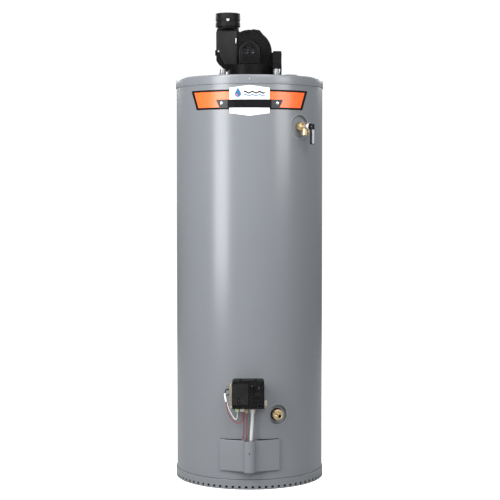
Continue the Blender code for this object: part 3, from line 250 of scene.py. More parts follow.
LABEL_GREY = finish("grey_print", (0.045, 0.046, 0.048), 0.34, mottle=(50.0, 0.12),
    rough_vary=0.05, grain=(1200.0, 0.03), specular=0.1)
LABEL_WHITE = finish("white_print", (0.86, 0.87, 0.88), 0.3, mottle=(30.0, 0.02), rough_vary=0.05,
    grain=(1200.0, 0.03))
LABEL_BLUE = finish("blue_print", (0.03, 0.12, 0.26), 0.3, mottle=(30.0, 0.08), rough_vary=0.05,
    grain=(1200.0, 0.03))


# ---------------------------------------------------------------- mesh building
def as_built(form):
    mesh = bpy.data.meshes.new("part")
    form.to_mesh(mesh)
    form.free()
    return mesh


def to_mesh(form, matrix=None):
    bmesh.ops.recalc_face_normals(form, faces=form.faces)
    mesh = as_built(form)
    if matrix is not None:
        mesh.transform(matrix)
    return mesh


def fillet(points, closed=True, steps=5):
    """Replace each corner (u, v, radius) of an outline by an arc; a corner without a radius stays sharp."""
    made = []
    for i, point in enumerate(points):
        corner = Vector(point[:2])
        radius = point[2] if len(point) > 2 else 0.0
        if not radius or (not closed and i in (0, len(points) - 1)):
            made.append(tuple(corner))
            continue
        before = (Vector(points[i - 1][:2]) - corner).normalized()
        after = (Vector(points[(i + 1) % len(points)][:2]) - corner).normalized()
        angle = before.angle(after)
        centre = corner + (before + after).normalized() * radius / math.sin(angle / 2)
        reach = radius / math.tan(angle / 2)
        start, end = corner + before * reach - centre, corner + after * reach - centre
        first = math.atan2(start.y, start.x)
        swept = (math.atan2(end.y, end.x) - first + math.pi) % (2 * math.pi) - math.pi
        for step in range(steps + 1):
            turn = first + swept * step / steps
            made.append((centre.x + radius * math.cos(turn), centre.y + radius * math.sin(turn)))
    return made


def rect(left, low, right, high, corner=None):
    """The four corners of a rectangle, with a corner radius for fillet where one is given."""
    spots = [(left, low), (right, low), (right, high), (left, high)]
    return spots if corner is None else [(*spot, corner) for spot in spots]


def arc(radius, start, end, steps, centre=(0.0, 0.0)):
    """Points on a circle from start to end, in degrees."""
    angles = [math.radians(start + (end - start) * i / steps) for i in range(steps + 1)]
    return [(centre[0] + radius * math.cos(a), centre[1] + radius * math.sin(a)) for a in angles]


def polygon(radius, turn=0.0, sides=6, centre=(0.0, 0.0)):
    return arc(radius, turn, turn + 360 * (sides - 1) / sides, sides - 1, centre)


def lathe(profile, sides=64, matrix=None, ring=False):
    """Turn (radius, height) points about Z. With ring the profile closes on itself."""
    form = bmesh.new()
    rings = []
    for radius, height in profile:
        if radius < 1e-6:
            rings.append([form.verts.new((0, 0, height))])
            continue
        turns = [2 * math.pi * i / sides for i in range(sides)]
        rings.append([form.verts.new((radius * math.cos(a), radius * math.sin(a), height)) for a in turns])
    pairs = list(zip(rings, rings[1:])) + ([(rings[-1], rings[0])] if ring else [])
    for below, above in pairs:
        if len(below) == 1 and len(above) == 1:
            continue
        for i in range(sides):
            j = (i + 1) % sides
            corners = [below[i % len(below)], below[j % len(below)], above[j % len(above)],
                above[i % len(above)]]
            form.faces.new(list(dict.fromkeys(corners)))
    return to_mesh(form, matrix)


def disc(radius, start, end, sides=48, matrix=None, edge=0.0):
    """A solid round bar along Z from start to end, with rounded rims."""
    profile = [(0, start), (radius, start, edge), (radius, end, edge), (0, end)]
    return lathe(fillet(profile, closed=False, steps=4), sides, matrix)


def prism(outline, start, end, along="y", rim=0.0, steps=3, matrix=None):
    """Extrude an outline between two heights along an axis, with both rims rounded by rim."""
    spot = {"z": lambda u, v, w: (u, v, w), "y": lambda u, v, w: (u, w, v), "x": lambda u, v,
        w: (w, u, v)}[along]
    form = bmesh.new()
    near = form.faces.new([form.verts.new(spot(u, v, start)) for u, v in outline])
    grown = bmesh.ops.extrude_face_region(form, geom=[near])["geom"]
    far = [item for item in grown if isinstance(item, bmesh.types.BMFace)]
    shift = Vector(spot(0, 0, end)) - Vector(spot(0, 0, start))
    bmesh.ops.translate(form, verts=[v for v in grown if isinstance(v, bmesh.types.BMVert)], vec=shift)
    bmesh.ops.recalc_face_normals(form, faces=form.faces)
    if rim:
        edges = dict.fromkeys(edge for face in (near, *far) if face.is_valid for edge in face.edges)
        bmesh.ops.bevel(form, geom=list(edges), offset=rim, segments=steps, profile=0.5, affect="EDGES",
            clamp_overlap=True)
    return to_mesh(form, matrix)


def block(low, high, edge=0.0, steps=3):
    """A box between two corners with every edge rounded."""
    form = bmesh.new()
    size, centre = Vector(high) - Vector(low), (Vector(high) + Vector(low)) / 2
    bmesh.ops.create_cube(form, size=1.0, matrix=Matrix.Translation(centre) @ Matrix.Diagonal((*size, 1.0)))
    if edge:
        bmesh.ops.bevel(form, geom=form.edges[:], offset=edge, segments=steps, profile=0.5, affect="EDGES")
    return to_mesh(form)


def merged(*meshes):
    """One mesh that holds several."""
    form = bmesh.new()
    for mesh in meshes:
        form.from_mesh(mesh)
    return as_built(form)


def evaluated(holder):
    bpy.context.view_layer.update()
    graph = bpy.context.evaluated_depsgraph_get()
    return bpy.data.meshes.new_from_object(holder.evaluated_get(graph), depsgraph=graph)


def combined(base, tool, operation="DIFFERENCE"):
    """The base mesh with the tool mesh cut from it, joined to it or kept in common."""
    pair = [bpy.data.objects.new("boolean", mesh) for mesh in (base, tool)]
    for holder in pair:
        SCENE.collection.objects.link(holder)
    change = pair[0].modifiers.new("boolean", "BOOLEAN")
    change.operation = operation
    change.solver = "EXACT"
    change.object = pair[1]
    made = evaluated(pair[0])
    for holder in pair:
        bpy.data.objects.remove(holder)
    return made


def smooth_route(points, per_span=12):
    """Points along a Catmull-Rom curve through the given points."""
    spots = [Vector(p) for p in points]
    spots = [spots[0] * 2 - spots[1]] + spots + [spots[-1] * 2 - spots[-2]]
    route = []
    for a, b, c, d in zip(spots, spots[1:], spots[2:], spots[3:]):
        for step in range(per_span):
            t = step / per_span
            route.append(0.5 * ((2 * b) + (c - a) * t + (2 * a - 5 * b + 4 * c - d) * t * t
                + (3 * b - a - 3 * c + d) * t ** 3))
    return route + [spots[-2]]


def rod_along(points, radius, resolution=4):
    """A round bar along a route of points."""
    curve = bpy.data.curves.new("route", "CURVE")
    curve.dimensions = "3D"
    curve.bevel_depth = radius
    curve.bevel_resolution = resolution
    curve.use_fill_caps = True
    spline = curve.splines.new("POLY")
    spline.points.add(len(points) - 1)
    for point, where in zip(spline.points, points):
        point.co = (*where, 1.0)
    holder = bpy.data.objects.new("route", curve)
    SCENE.collection.objects.link(holder)
    mesh = evaluated(holder)
    mesh.materials.clear()
    bpy.data.objects.remove(holder)
    form = bmesh.new()
    form.from_mesh(mesh)
    bmesh.ops.remove_doubles(form, verts=form.verts, dist=0.00001)
    return to_mesh(form)


def wrapped(outline, inner, outer, step=0.004):
    """A thin sheet with this (x, z) outline, bent round the front of the cabinet between two radii."""
    form = bmesh.new()
    form.faces.new([form.verts.new((x, 0, z)) for x, z in outline])
    left, right = min(x for x, _ in outline), max(x for x, _ in outline)
    count = max(1, int((right - left) / step))
    for i in range(1, count):
        where = left + (right - left) * i / count
        parts = form.verts[:] + form.edges[:] + form.faces[:]
        bmesh.ops.bisect_plane(form, geom=parts, dist=1e-7, plane_co=(where, 0, 0), plane_no=(1, 0, 0))
    grown = bmesh.ops.extrude_face_region(form, geom=form.faces[:])["geom"]
    lifted = [v for v in grown if isinstance(v, bmesh.types.BMVert)]
    bmesh.ops.translate(form, verts=lifted, vec=(0, -1, 0))
    bmesh.ops.recalc_face_normals(form, faces=form.faces)
    for vert in form.verts:
        turn = math.asin(vert.co.x / inner)
        radius = outer if vert.co.y < -0.5 else inner
        vert.co = (radius * math.sin(turn), -radius * math.cos(turn), vert.co.z)
    return as_built(form)


def threaded(radius, start, end, pitch, depth, inner):
    """A closed ring profile whose outside carries thread ridges from start up to end."""
    ridges = []
    count = int((end - start) / pitch)
    for i in range(count):
        height = start + i * pitch
        ridges += [(radius - depth, height), (radius, height + pitch / 2)]
    return [(inner, start)] + ridges + [(radius - depth, end), (inner, end)]


def radial_normals(mesh):
    """Give every face that lies round the tank's axis the exact normals of a cylinder."""
    normals = []
    for face in mesh.polygons:
        flat = Vector((face.normal.x, face.normal.y, 0))
        for index in face.vertices:
            away = Vector((mesh.vertices[index].co.x, mesh.vertices[index].co.y, 0)).normalized()
            facing = away.dot(face.normal)
            if flat.length > 0.99 and abs(facing) > 0.995:
                normals.append(away * math.copysign(1.0, facing))
            else:
                normals.append(face.normal.copy())
    mesh.normals_split_custom_set([tuple(n) for n in normals])


def piece(name, mesh, mat, body="cabinet", replaces=None, matrix=None, angle=35, round_panel=False):
    """Add a finished piece to the scene, riding on its body."""
    if matrix is not None:
        mesh.transform(matrix)
    made = bpy.data.objects.new(name, mesh)
    SCENE.collection.objects.link(made)
    mesh.materials.clear()
    mesh.materials.append(mat)
    mesh.shade_smooth()
    mesh.set_sharp_from_angle(angle=math.radians(angle))
    if round_panel:
        radial_normals(mesh)
    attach(made, body)
    if replaces:
        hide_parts(replaces)
    return made


SCREW_HEADS = {}


def screw(name, at, facing=OUT, radius=0.0036, mat=PLATED, hex_head=False):
    """A pan-head screw with a cross recess, or a hex washer head, whose +Z points along facing."""
    key = (radius, hex_head)
    if key not in SCREW_HEADS:
        height = radius * 0.62
        if hex_head:
            washer = disc(radius * 1.25, 0, height * 0.3, 32, edge=height * 0.12)
            head = merged(washer, prism(polygon(radius), height * 0.25, height * 1.1, "z",
                rim=height * 0.16))
        else:
            dome = [(0, -height * 0.2), (radius, -height * 0.2), (radius, height * 0.25)]
            dome += [(radius * math.cos(math.radians(a)), height * (0.25
                + 0.75 * math.sin(math.radians(a)))) for a in (25, 45, 62, 76)] + [(0, height)]
            arm, width, depth = radius * 0.56, radius * 0.13, height * 0.45
            cross = block((-arm, -width, height - depth), (arm, width, height + 0.01))
            other = block((-width, -arm, height - depth), (width, arm, height + 0.01))
            head = combined(combined(lathe(dome, 32), cross), other)
        SCREW_HEADS[key] = head
    head = SCREW_HEADS[key].copy()
    piece(name, head, mat, matrix=Matrix.Translation(at) @ facing)


# ---------------------------------------------------------------- cabinet
def bored(radius, start, end, frame_matrix):
    """A cutter whose axis points out of the cabinet, between two distances from the tank's axis."""
    return disc(radius, start, end, 96, frame_matrix @ OUT)


def make_jacket():
    """The jacket sheet with its openings, and the riveted seam down its back."""
    top, low, inner = JACKET_HIGH.z, JACKET_LOW.z, JACKET_R - SHEET
    shell = lathe([(JACKET_R, top), (JACKET_R, low), (inner, low), (inner, top)], SIDES, ring=True)
    door_low, door_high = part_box("inner_door")
    control = Matrix.Translation((CONTROL_X, 0, CONTROL_Z))
    margin = 0.003
    holes = merged(block((-0.085, -0.3, door_low.z - margin), (0.085, -0.2, door_high.z + 0.004)),
        bored(0.022, 0.2, 0.3, control), bored(RELIEF_HOLE, 0.2, 0.3, RELIEF_DISH),
        bored(DRAIN_HOLE, 0.2, 0.3, DRAIN))
    piece("jacket_panel", combined(shell, holes), PAINT, replaces="jacket", round_panel=True)
    half, lap = 0.0065, 0.0011
    seam = fillet(rect(-half, low + 0.02, half, top - 0.036, 0.002))
    piece("jacket_back_seam", wrapped(seam, JACKET_R - 0.0002, JACKET_R + lap, 0.001), PAINT,
        matrix=turned(180))
    for row in range(7):
        height = low + 0.1 + (top - low - 0.22) * row / 6
        at = (0.0, JACKET_R + lap - 0.0001, height)
        piece(f"seam_rivet_{row + 1}", disc(0.0024, 0, 0.0008, 24, edge=0.0006), PAINT,
            matrix=Matrix.Translation(at) @ BACK)


def make_lid():
    """The pressed lid, hemmed at its skirt, with holes for the pipes and the blower."""
    low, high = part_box("top_lid")
    radius, top, skirt = high.x, high.z, low.z
    corner, exhaust = 0.006, 0.052
    outer = fillet([(exhaust, top), (radius - 0.02, top, 0.01), (radius, top - 0.0006, corner),
        (radius, skirt)], closed=False, steps=8)
    hem = arc(0.0009, 0, -180, 6, (radius - 0.0009, skirt + 0.0009))
    inner = fillet([(radius - SHEET, skirt + 0.004), (radius - SHEET, top - SHEET, corner - SHEET),
        (exhaust, top - SHEET)], closed=False, steps=8)
    shell = lathe(outer[:-1] + hem + inner, SIDES, ring=True)
    hot, cold, anode = middle("hot_nipple"), middle("cold_nipple"), middle("anode_rod")
    holes = merged(*[disc(size, 1.49, 1.53, 64, upright_at(at)) for at, size in ((hot, 0.0145),
        (cold, 0.0145), (anode, 0.02))])
    piece("lid_pan", combined(shell, holes), LID_PAINT, replaces="top_lid", angle=50)
    for number, azimuth in enumerate((0, 120, 240), 1):
        turn = turned(azimuth)
        screw(f"lid_screw_{number}", turn @ Vector((0, -radius - 0.0001, skirt + 0.0175)), turn @ OUT,
            0.002, mat=GALVANISED)


def make_base():
    """The base ring with its air-intake openings, a thin dark ring painted as the shadow line above it, and
    spot welds.
    """
    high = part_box("base_ring")[1]
    radius, top = high.x, high.z
    lip = fillet([(radius - 0.0016, 0.0), (radius, 0.0, 0.0008), (radius, top, 0.0014),
        (radius - 0.0022, top)], closed=False, steps=4)
    inner = [(radius - 0.0022, top - 0.0012), (radius - SHEET, top - 0.0022), (radius - SHEET, 0.0012),
        (radius - 0.0016, 0.0012)]
    ring = lathe(lip + inner, SIDES, ring=True)
    openings = 72
    pitch = 360 / openings
    slot_outline = fillet(rect(-0.0047, 0.0052, 0.0047, 0.013, 0.0012), steps=3)
    cutters = []
    for number in range(openings):
        turn = turned(pitch * (number + 0.5))
        cutters.append(prism(slot_outline, -radius - 0.004, -radius + 0.004, "y", matrix=turn))
    piece("base_intake_ring", combined(ring, merged(*cutters)), PAINT, replaces="base_ring",
        round_panel=True)
    # A thin black ring on the jacket just above the base ring is painted shadow along the ring's top edge.
    joint = [(JACKET_R - 0.0002, top - 0.001), (JACKET_R + 0.0007, top - 0.001),
        (JACKET_R + 0.0007, top + 0.0012), (JACKET_R - 0.0002, top + 0.0014)]
    piece("base_ring_shadow_line", lathe(joint, SIDES, ring=True), RUBBER, angle=60)
    dimple = [(0, 0), (0.0021, 0.0), (0.0021, 0.0005), (0.0012, 0.0008), (0, 0.0009)]
    for number in range(12):
        turn = turned(30 * number + 15)
        piece(f"base_spot_weld_{number + 1}", lathe(dimple, 20), PAINT, matrix=turn
            @ Matrix.Translation((0, -radius + 0.0009, 0.0245)) @ OUT)


def make_label():
    """The name plate in layers, from its border up to the rivets, without any words."""
    inner = JACKET_R + 0.0003
    low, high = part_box("label_plate")
    half_top, half_low, top, foot = 0.2143, 0.1943, 1.4635, 1.392
    border = 0.0072
    plate = fillet([(-half_low, foot, 0.003), (half_low, foot, 0.003), (half_top, top, 0.003),
        (-half_top, top, 0.003)])
    piece("label_border", wrapped(plate, inner, inner + 0.0004), LABEL_BLACK, replaces="label_plate")
    slope = (half_top - half_low) / (top - foot)
    left_low, left_top = half_low - border * 1.2 + slope * border, half_top - border * 1.2 - slope * border
    field = [(-left_low, foot + border), (left_low, foot + border), (left_top, top - border),
        (-left_top, top - border)]
    piece("label_field", wrapped(field, inner + 0.0002, inner + 0.00055), ORANGE)
    banner_low, banner_top = 1.397, 1.4276
    wide, narrow = JACKET_R * math.sin(math.radians(25.9)), JACKET_R * math.sin(math.radians(23.1))
    banner = [(-narrow, banner_low), (narrow, banner_low), (wide, banner_top), (-wide, banner_top)]
    piece("label_banner", wrapped(banner, inner + 0.0004, inner + 0.0007), LABEL_GREY)
    centre_half = 0.08
    centre = rect(-centre_half, banner_low, centre_half, banner_top)
    piece("label_banner_centre", wrapped(centre, inner + 0.0005, inner + 0.00075), LABEL_BLACK)
    half, shoulder = 0.073, 1.47
    shield_top = fillet([(-half, banner_top, 0), (half, banner_top, 0), (half, shoulder, 0.002),
        (0, high.z, 0.01), (-half, shoulder, 0.002)])
    piece("label_shield_top", wrapped(shield_top, inner + 0.0003, inner + 0.0006), LABEL_WHITE)
    shield_low = fillet([(-half, 1.378, 0.002), (0, low.z, 0.01), (half, 1.378, 0.002),
        (half, banner_low, 0), (-half, banner_low, 0)])
    piece("label_shield_low", wrapped(shield_low, inner + 0.0003, inner + 0.0006), LABEL_WHITE)

    # A plain water drop with waves beside it.
    drop_x, drop_z, size = -0.042, 1.4475, 0.0118
    tip = (drop_x, drop_z + 2.0 * size)
    drop = arc(size, 150, 390, 28, (drop_x, drop_z)) + [tip]
    piece("label_drop", wrapped(drop, inner + 0.0005, inner + 0.0008, 0.002), LABEL_BLUE)
    glint = arc(size * 0.55, 180, 270, 10, (drop_x, drop_z)) + arc(size * 0.36, 270, 180, 10,
        (drop_x, drop_z))
    piece("label_drop_glint", wrapped(glint, inner + 0.0007, inner + 0.0009, 0.002), ORANGE)
    for row, thick in enumerate((0.003, 0.0022)):
        height, start, end = 1.453 - 0.0105 * row, -0.022, 0.056
        count = 40
        upper = [(start + (end - start) * i / count, height + 0.0026 * math.sin(6 * math.pi * i / count)
            + thick) for i in range(count + 1)]
        lower = [(x, z - 2 * thick) for x, z in reversed(upper)]
        piece(f"label_wave_{row + 1}", wrapped(lower + upper, inner + 0.0005, inner + 0.0008, 0.002),
            LABEL_BLACK if row == 0 else LABEL_BLUE)
    for side, name in LEFT_RIGHT:
        at = turned(side * 21.5) @ Vector((0, -inner - 0.0006, 1.415))
        matrix = Matrix.Translation(at) @ turned(side * 21.5) @ OUT
        rivet = [(0, 0), (0.0062, 0), (0.0062, 0.0005), (0.0058, 0.0011), (0.0046, 0.0019), (0.003, 0.0024),
            (0.0014, 0.0026), (0, 0.0026)]
        piece(f"label_rivet_{name}", lathe(rivet, 40), PLATED, matrix=matrix)


# ---------------------------------------------------------------- top fittings
def make_top_fittings():
    """The hot and cold nipples with their grommets, and the anode cap."""
    for node, name in (("hot_nipple", "hot"), ("cold_nipple", "cold")):
        low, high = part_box(node)
        at = (low + high) / 2
        radius, bore = (high.x - low.x) / 2, 0.0105
        profile = [(bore, low.z), (radius - 0.0006, low.z)]
        profile += threaded(radius, 1.538, high.z - 0.0012, 0.0018, 0.0006, bore)[1:-1]
        profile += [(bore + 0.001, high.z), (bore, high.z - 0.001)]
        piece(f"{name}_nipple_pipe", lathe(profile, 48, ring=True), POLISHED, replaces=node,
            matrix=upright_at(at))
        collar = fillet([(radius + 0.0004, 1.5192), (radius + 0.0052, 1.5192, 0.0006),
            (radius + 0.0052, 1.5212, 0.001), (radius + 0.0008, 1.5224, 0.0006), (radius + 0.0004, 1.522)],
            steps=3)
        piece(f"{name}_nipple_grommet", lathe(collar, 48, ring=True), GREY_PLASTIC, matrix=upright_at(at))
        liner = rect(bore - 0.0012, 1.44, bore - 0.0002, high.z - 0.0012)
        piece(f"{name}_nipple_liner", lathe(liner, 40, ring=True), WHITE_PLASTIC, matrix=upright_at(at))
    low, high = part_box("anode_cap")
    radius, wall = (high.x - low.x) / 2, 0.002
    at = (low + high) / 2
    crown = fillet([(0, high.z), (radius - 0.001, high.z, 0.0055), (radius - 0.0004, low.z + 0.003, 0.001),
        (radius, low.z + 0.0022, 0.0008), (radius, low.z), (radius - wall, low.z),
        (radius - wall, high.z - wall, 0.004), (0, high.z - wall)], closed=False, steps=5)
    piece("anode_access_cap", lathe(crown, 72), GREY_PLASTIC, replaces="anode_cap", matrix=upright_at(at))
    ridge = fillet([(0.013, high.z - 0.0004), (0.015, high.z - 0.0004), (0.015, high.z, 0.0003),
        (0.013, high.z, 0.0003)], steps=2)
    piece("anode_cap_ring", lathe(ridge, 48, ring=True), GREY_PLASTIC, matrix=upright_at(at))


# ---------------------------------------------------------------- recessed fittings
def make_recess(name, node, frame_matrix, rim, fitting, hole):
    """A moulded dish whose lip follows the curve of the jacket, with a hole in its floor for a fitting."""
    floor = 0.266
    lip = JACKET_R + 0.0009
    profile = fillet([(0, floor - 0.0012), (rim - 0.0004, floor - 0.0012),
        (rim - 0.0002, JACKET_R - 0.0003, 0.0), (rim + 0.0024, JACKET_R + 0.0001, 0.0),
        (rim + 0.0024, lip, 0.0004), (rim - 0.0022, lip, 0.0011), (rim - 0.0034, floor, 0.0022),
        (0, floor)], closed=False, steps=6)
    dish = lathe(profile, 128)
    for vert in dish.vertices:
        share = min(max((vert.co.z - floor) / (JACKET_R - floor), 0.0), 1.0)
        vert.co.z += (math.sqrt(JACKET_R ** 2 - vert.co.x ** 2) - JACKET_R) * share
    dish.transform(frame_matrix @ OUT)
    piece(name, combined(dish, bored(hole, 0.255, 0.275, fitting)), GREY_PLASTIC, replaces=node, angle=50)


def make_relief_valve():
    """The relief valve, from its shank out to the test lever, in its own frame."""
    make_recess("relief_recess", "relief_dish", RELIEF_DISH, RELIEF_HOLE, RELIEF, 0.0135)
    shank = lathe(threaded(0.0125, 0.224, 0.27, 0.0022, 0.001, 0.0085), 48, ring=True)
    nut = combined(prism(polygon(0.0183, 30), 0.2706, 0.2858, "z"), lathe(fillet([(0, 0.27), (0.0168, 0.27),
        (0.0192, 0.2728), (0.0192, 0.2838), (0.017, 0.2864), (0, 0.2864)], closed=False), 64), "INTERSECT")
    barrel = lathe(fillet([(0.0066, 0.2855), (0.0145, 0.2855, 0.001), (0.0145, 0.29, 0.001),
        (0.0139, 0.293, 0.001), (0.0139, 0.308, 0.001), (0.0148, 0.3105, 0.001), (0.0148, 0.3128, 0.0006),
        (0.0105, 0.3128), (0.0105, 0.289), (0.0066, 0.2885)], steps=4), 72, ring=True)
    for mesh, name in ((shank, "relief_shank_thread"), (nut, "relief_wrench_flats")):
        piece(name, mesh, BRASS_CAST, matrix=RELIEF @ OUT)
    boss_centre = Matrix.Translation((0, -0.2995, 0))
    boss_profile = fillet([(0.0095, 0.003), (0.0095, 0.0318, 0.0006), (0.0135, 0.0318, 0.001),
        (0.0135, 0.0175, 0.0006), (0.0126, 0.016, 0.0006), (0.0126, 0.003)], steps=4)
    boss = lathe(boss_profile, 64, boss_centre @ DOWN, ring=True)
    barrel.transform(OUT)
    port = disc(0.0094, -0.032, -0.001, 48, boss_centre)
    body = combined(combined(barrel, port), boss, "UNION")
    piece("relief_body", body, BRASS_CAST, replaces="relief_valve_body", matrix=RELIEF)
    rings = [(0.0095, 0.03 - 0.0016 * i) for i in range(12)]
    ridge = []
    for radius, depth in rings:
        ridge += [(radius, depth), (radius - 0.0007, depth - 0.0008)]
    thread = [(0.0094, 0.011)] + [(r - 0.0001, d) for r, d in reversed(ridge)] + [(0.0094, 0.0304)]
    piece("relief_outlet_thread", lathe(thread, 48, boss_centre @ DOWN), BRASS, matrix=RELIEF)
    bonnet = fillet([(0.004, 0.312), (0.015, 0.312, 0.0008), (0.015, 0.3215, 0.0004),
        (0.0132, 0.3262, 0.0016), (0.004, 0.3264)], steps=5)
    piece("relief_bonnet", lathe(bonnet, 72, ring=True), GALVANISED, matrix=RELIEF @ OUT)
    washer = fillet([(0.0036, 0.3262), (0.0126, 0.3262), (0.0126, 0.3274, 0.0005), (0.0036, 0.3274)],
        steps=3)
    piece("relief_dust_washer", lathe(washer, 48, ring=True), RUBBER, matrix=RELIEF @ OUT)

    pivot = RELIEF @ Matrix.Translation((0, -PIVOT_R, 0))
    half, face, inside, foot, wall = 0.0062, -0.0064, 0.005, -0.066, 0.0015
    cam = [((0.0064 + 0.003 * max(a, 0) / 90) * math.cos(math.radians(a)),
        (0.0064 + 0.003 * max(a, 0) / 90) * math.sin(math.radians(a))) for a in range(-42, 91, 6)]
    cheek = fillet([(face, foot + 0.002, 0.0), (face + 0.003, foot, 0.0015), (inside - 0.003, foot, 0.0015),
        (inside, foot + 0.004, 0.0015), (inside, -0.01, 0.0)]) + cam + [(face, 0.008)]
    # The cheeks are blackened steel as painted shade: the lever is one stamped steel piece, and its side
    # only looks dark from shadow.
    for side, name in LEFT_RIGHT:
        near, far = sorted((side * half, side * (half - wall)))
        plate = prism(cheek, near, far, "x", rim=0.0003, steps=2)
        hole = disc(0.0017, -0.01, 0.01, 20, RIGHT)
        piece(f"lever_cheek_{name}", combined(plate, hole), BLACK_STEEL, "relief_lever", matrix=pivot)
    spine = fillet([(-half, foot + 0.003, 0.003), (half, foot + 0.003, 0.003), (half, -0.012, 0.0005),
        (-half, -0.012, 0.0005)])
    plate = prism(spine, face, face + wall, "y", rim=0.0004)
    crown = block((-half, face, -0.0122), (half, face + wall, 0.008), 0.0005, 2)
    piece("lever_crown", crown, BLACK_STEEL, "relief_lever", matrix=pivot)
    grip = [block((-0.0042, face - 0.00005, foot + 0.01 + 0.004 * i), (0.0042, face + 0.0006,
        foot + 0.0115 + 0.004 * i)) for i in range(5)]
    piece("lever_plate", combined(plate, merged(*grip)), STAINLESS, "relief_lever", replaces="relief_lever",
        matrix=pivot)
    stem = lathe(fillet([(0, -0.044), (0.0085, -0.044, 0.0005), (0.0085, -0.0418, 0.0005),
        (0.003, -0.041, 0.0005), (0.003, 0.003, 0.0006), (0, 0.0032)], closed=False), 32)
    piece("relief_stem_rod", stem, BRASS, "relief_stem", replaces="relief_stem", matrix=pivot @ OUT)
    pin = disc(0.0013, -0.006, 0.006, 20, RIGHT, edge=0.0003)
    piece("lever_pin", pin, PLATED, "relief_stem", matrix=pivot)


def make_drain_valve():
    """The drain valve in its dish, with a hose thread and a slotted stem."""
    make_recess("drain_recess", "drain_dish", DRAIN, DRAIN_HOLE, DRAIN, 0.0125)
    stem = middle("drain_stem")
    local = DRAIN.inverted() @ stem
    offset = -0.003
    nozzle_at = Matrix.Translation((0, 0, offset))
    body = lathe(fillet([(0.0115, 0.224), (0.0115, 0.2668), (0.018, 0.2668, 0.0008), (0.0194, 0.269, 0.001),
        (0.0194, 0.2868, 0.0016), (0, 0.2888)], closed=False, steps=4), 96)
    body.transform(OUT)
    flange = combined(body, disc(0.007, 0.21, 0.31, 48, nozzle_at @ OUT))
    flange = combined(flange, disc(0.0037, 0.278, 0.3, 32, out_at(local.x, local.z)))
    piece("drain_body", flange, BRASS_CAST, replaces="drain_valve_body", matrix=DRAIN)
    # A black ring on the dish floor behind the brass body is painted shadow, the dark crescent beside the
    # body.
    shadow_ring_outline = fillet([(0.012, 0.2658), (0.0232, 0.2658), (0.0232, 0.2676, 0.0006), (0.012, 0.2676)], steps=3)
    piece("drain_shadow_ring", lathe(shadow_ring_outline, 64, DRAIN @ OUT, ring=True), RUBBER)
    thread = threaded(0.0125, 0.2884, 0.2985, 0.0022, 0.001, 0.0066)
    thread = thread[:-1] + [(0.0104, 0.3), (0.0072, 0.3), (0.0066, 0.2994)]
    piece("drain_hose_thread", lathe(thread, 64, nozzle_at @ OUT, ring=True), BRASS, matrix=DRAIN)
    radius = 0.0032
    rod = disc(radius, 0.2783, 0.2926, 32, OUT, edge=0.0004)
    rod.transform(Matrix.Translation((local.x, 0, local.z)))
    slot = block((-0.01, -0.294, local.z - 0.0005), (0.01, -0.2912, local.z + 0.0005))
    piece("drain_stem_rod", combined(rod, slot), BRASS, "drain_stem", replaces="drain_stem", matrix=DRAIN)


# ---------------------------------------------------------------- burner door
def make_door():
    """The outer door, one bent sheet with a channel down its middle, its hooks, and black strips on the
    jacket above it as painted shadow.
    """
    low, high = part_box("outer_door")
    half, foot, top = high.x, low.z, high.z
    return_y, outer_y, inner_y, channel_r, channel_y = -0.258, -0.265, -0.299, 0.022, -0.302
    channel = arc(channel_r, 180, 360, 28, (0, channel_y))
    side = fillet([(-half, return_y), (-half, outer_y, 0.0022), (-channel_r - 0.001, inner_y)], False)[:-1]
    side += fillet([side[-1], (-channel_r - 0.0008, inner_y, 0.001), channel[1]], False)[1:-1]
    line = side + channel[1:-1] + [(-x, y) for x, y in reversed(side)]
    form = bmesh.new()
    rows = [[form.verts.new((x, y, z)) for x, y in line] for z in (foot, foot + 0.004, top - 0.004, top)]
    for near, far in zip(rows, rows[1:]):
        for i in range(len(line) - 1):
            form.faces.new((near[i], near[i + 1], far[i + 1], far[i]))
    mesh = to_mesh(form)
    holder = bpy.data.objects.new("door", mesh)
    SCENE.collection.objects.link(holder)
    skin = holder.modifiers.new("sheet", "SOLIDIFY")
    skin.thickness = SHEET
    skin.offset = -1.0
    edge = holder.modifiers.new("edge", "BEVEL")
    edge.width = 0.0004
    edge.segments = 2
    edge.limit_method = "ANGLE"
    edge.angle_limit = math.radians(50)
    sheet = evaluated(holder)
    bpy.data.objects.remove(holder)
    hole = disc(0.0026, 0.31, 0.34, 24, out_at(0, 0.1403))
    piece("burner_door_cover", combined(sheet, hole), PAINT, "outer_door", replaces="outer_door", angle=30)
    for side, name in LEFT_RIGHT:
        ear = fillet([(side * (half - 0.0002), top - 0.004, 0), (side * (half - 0.0002), top, 0),
            (side * (half - 0.02), top, 0), (side * (half - 0.016), top - 0.004, 0)])
        tab = prism(ear, -0.265, -0.264, "y", rim=0.0003, steps=2)
        piece(f"door_ear_{name}", tab, PAINT, "outer_door")
        # A thin black strip on the jacket above each wing is painted shadow along the door's top edge.
        strip = rect(side * 0.106, top - 0.006, side * 0.03, top + 0.0016)
        piece(f"door_top_shadow_strip_{name}", wrapped(strip, JACKET_R + 0.0002, JACKET_R + 0.0012), RUBBER)
        inner = block((side * 0.084 - 0.006, -0.2625, 0.1755), (side * 0.084 + 0.006, -0.2585, 0.179),
            0.0006)
        piece(f"door_hook_{name}", inner, PLATED, "outer_door")


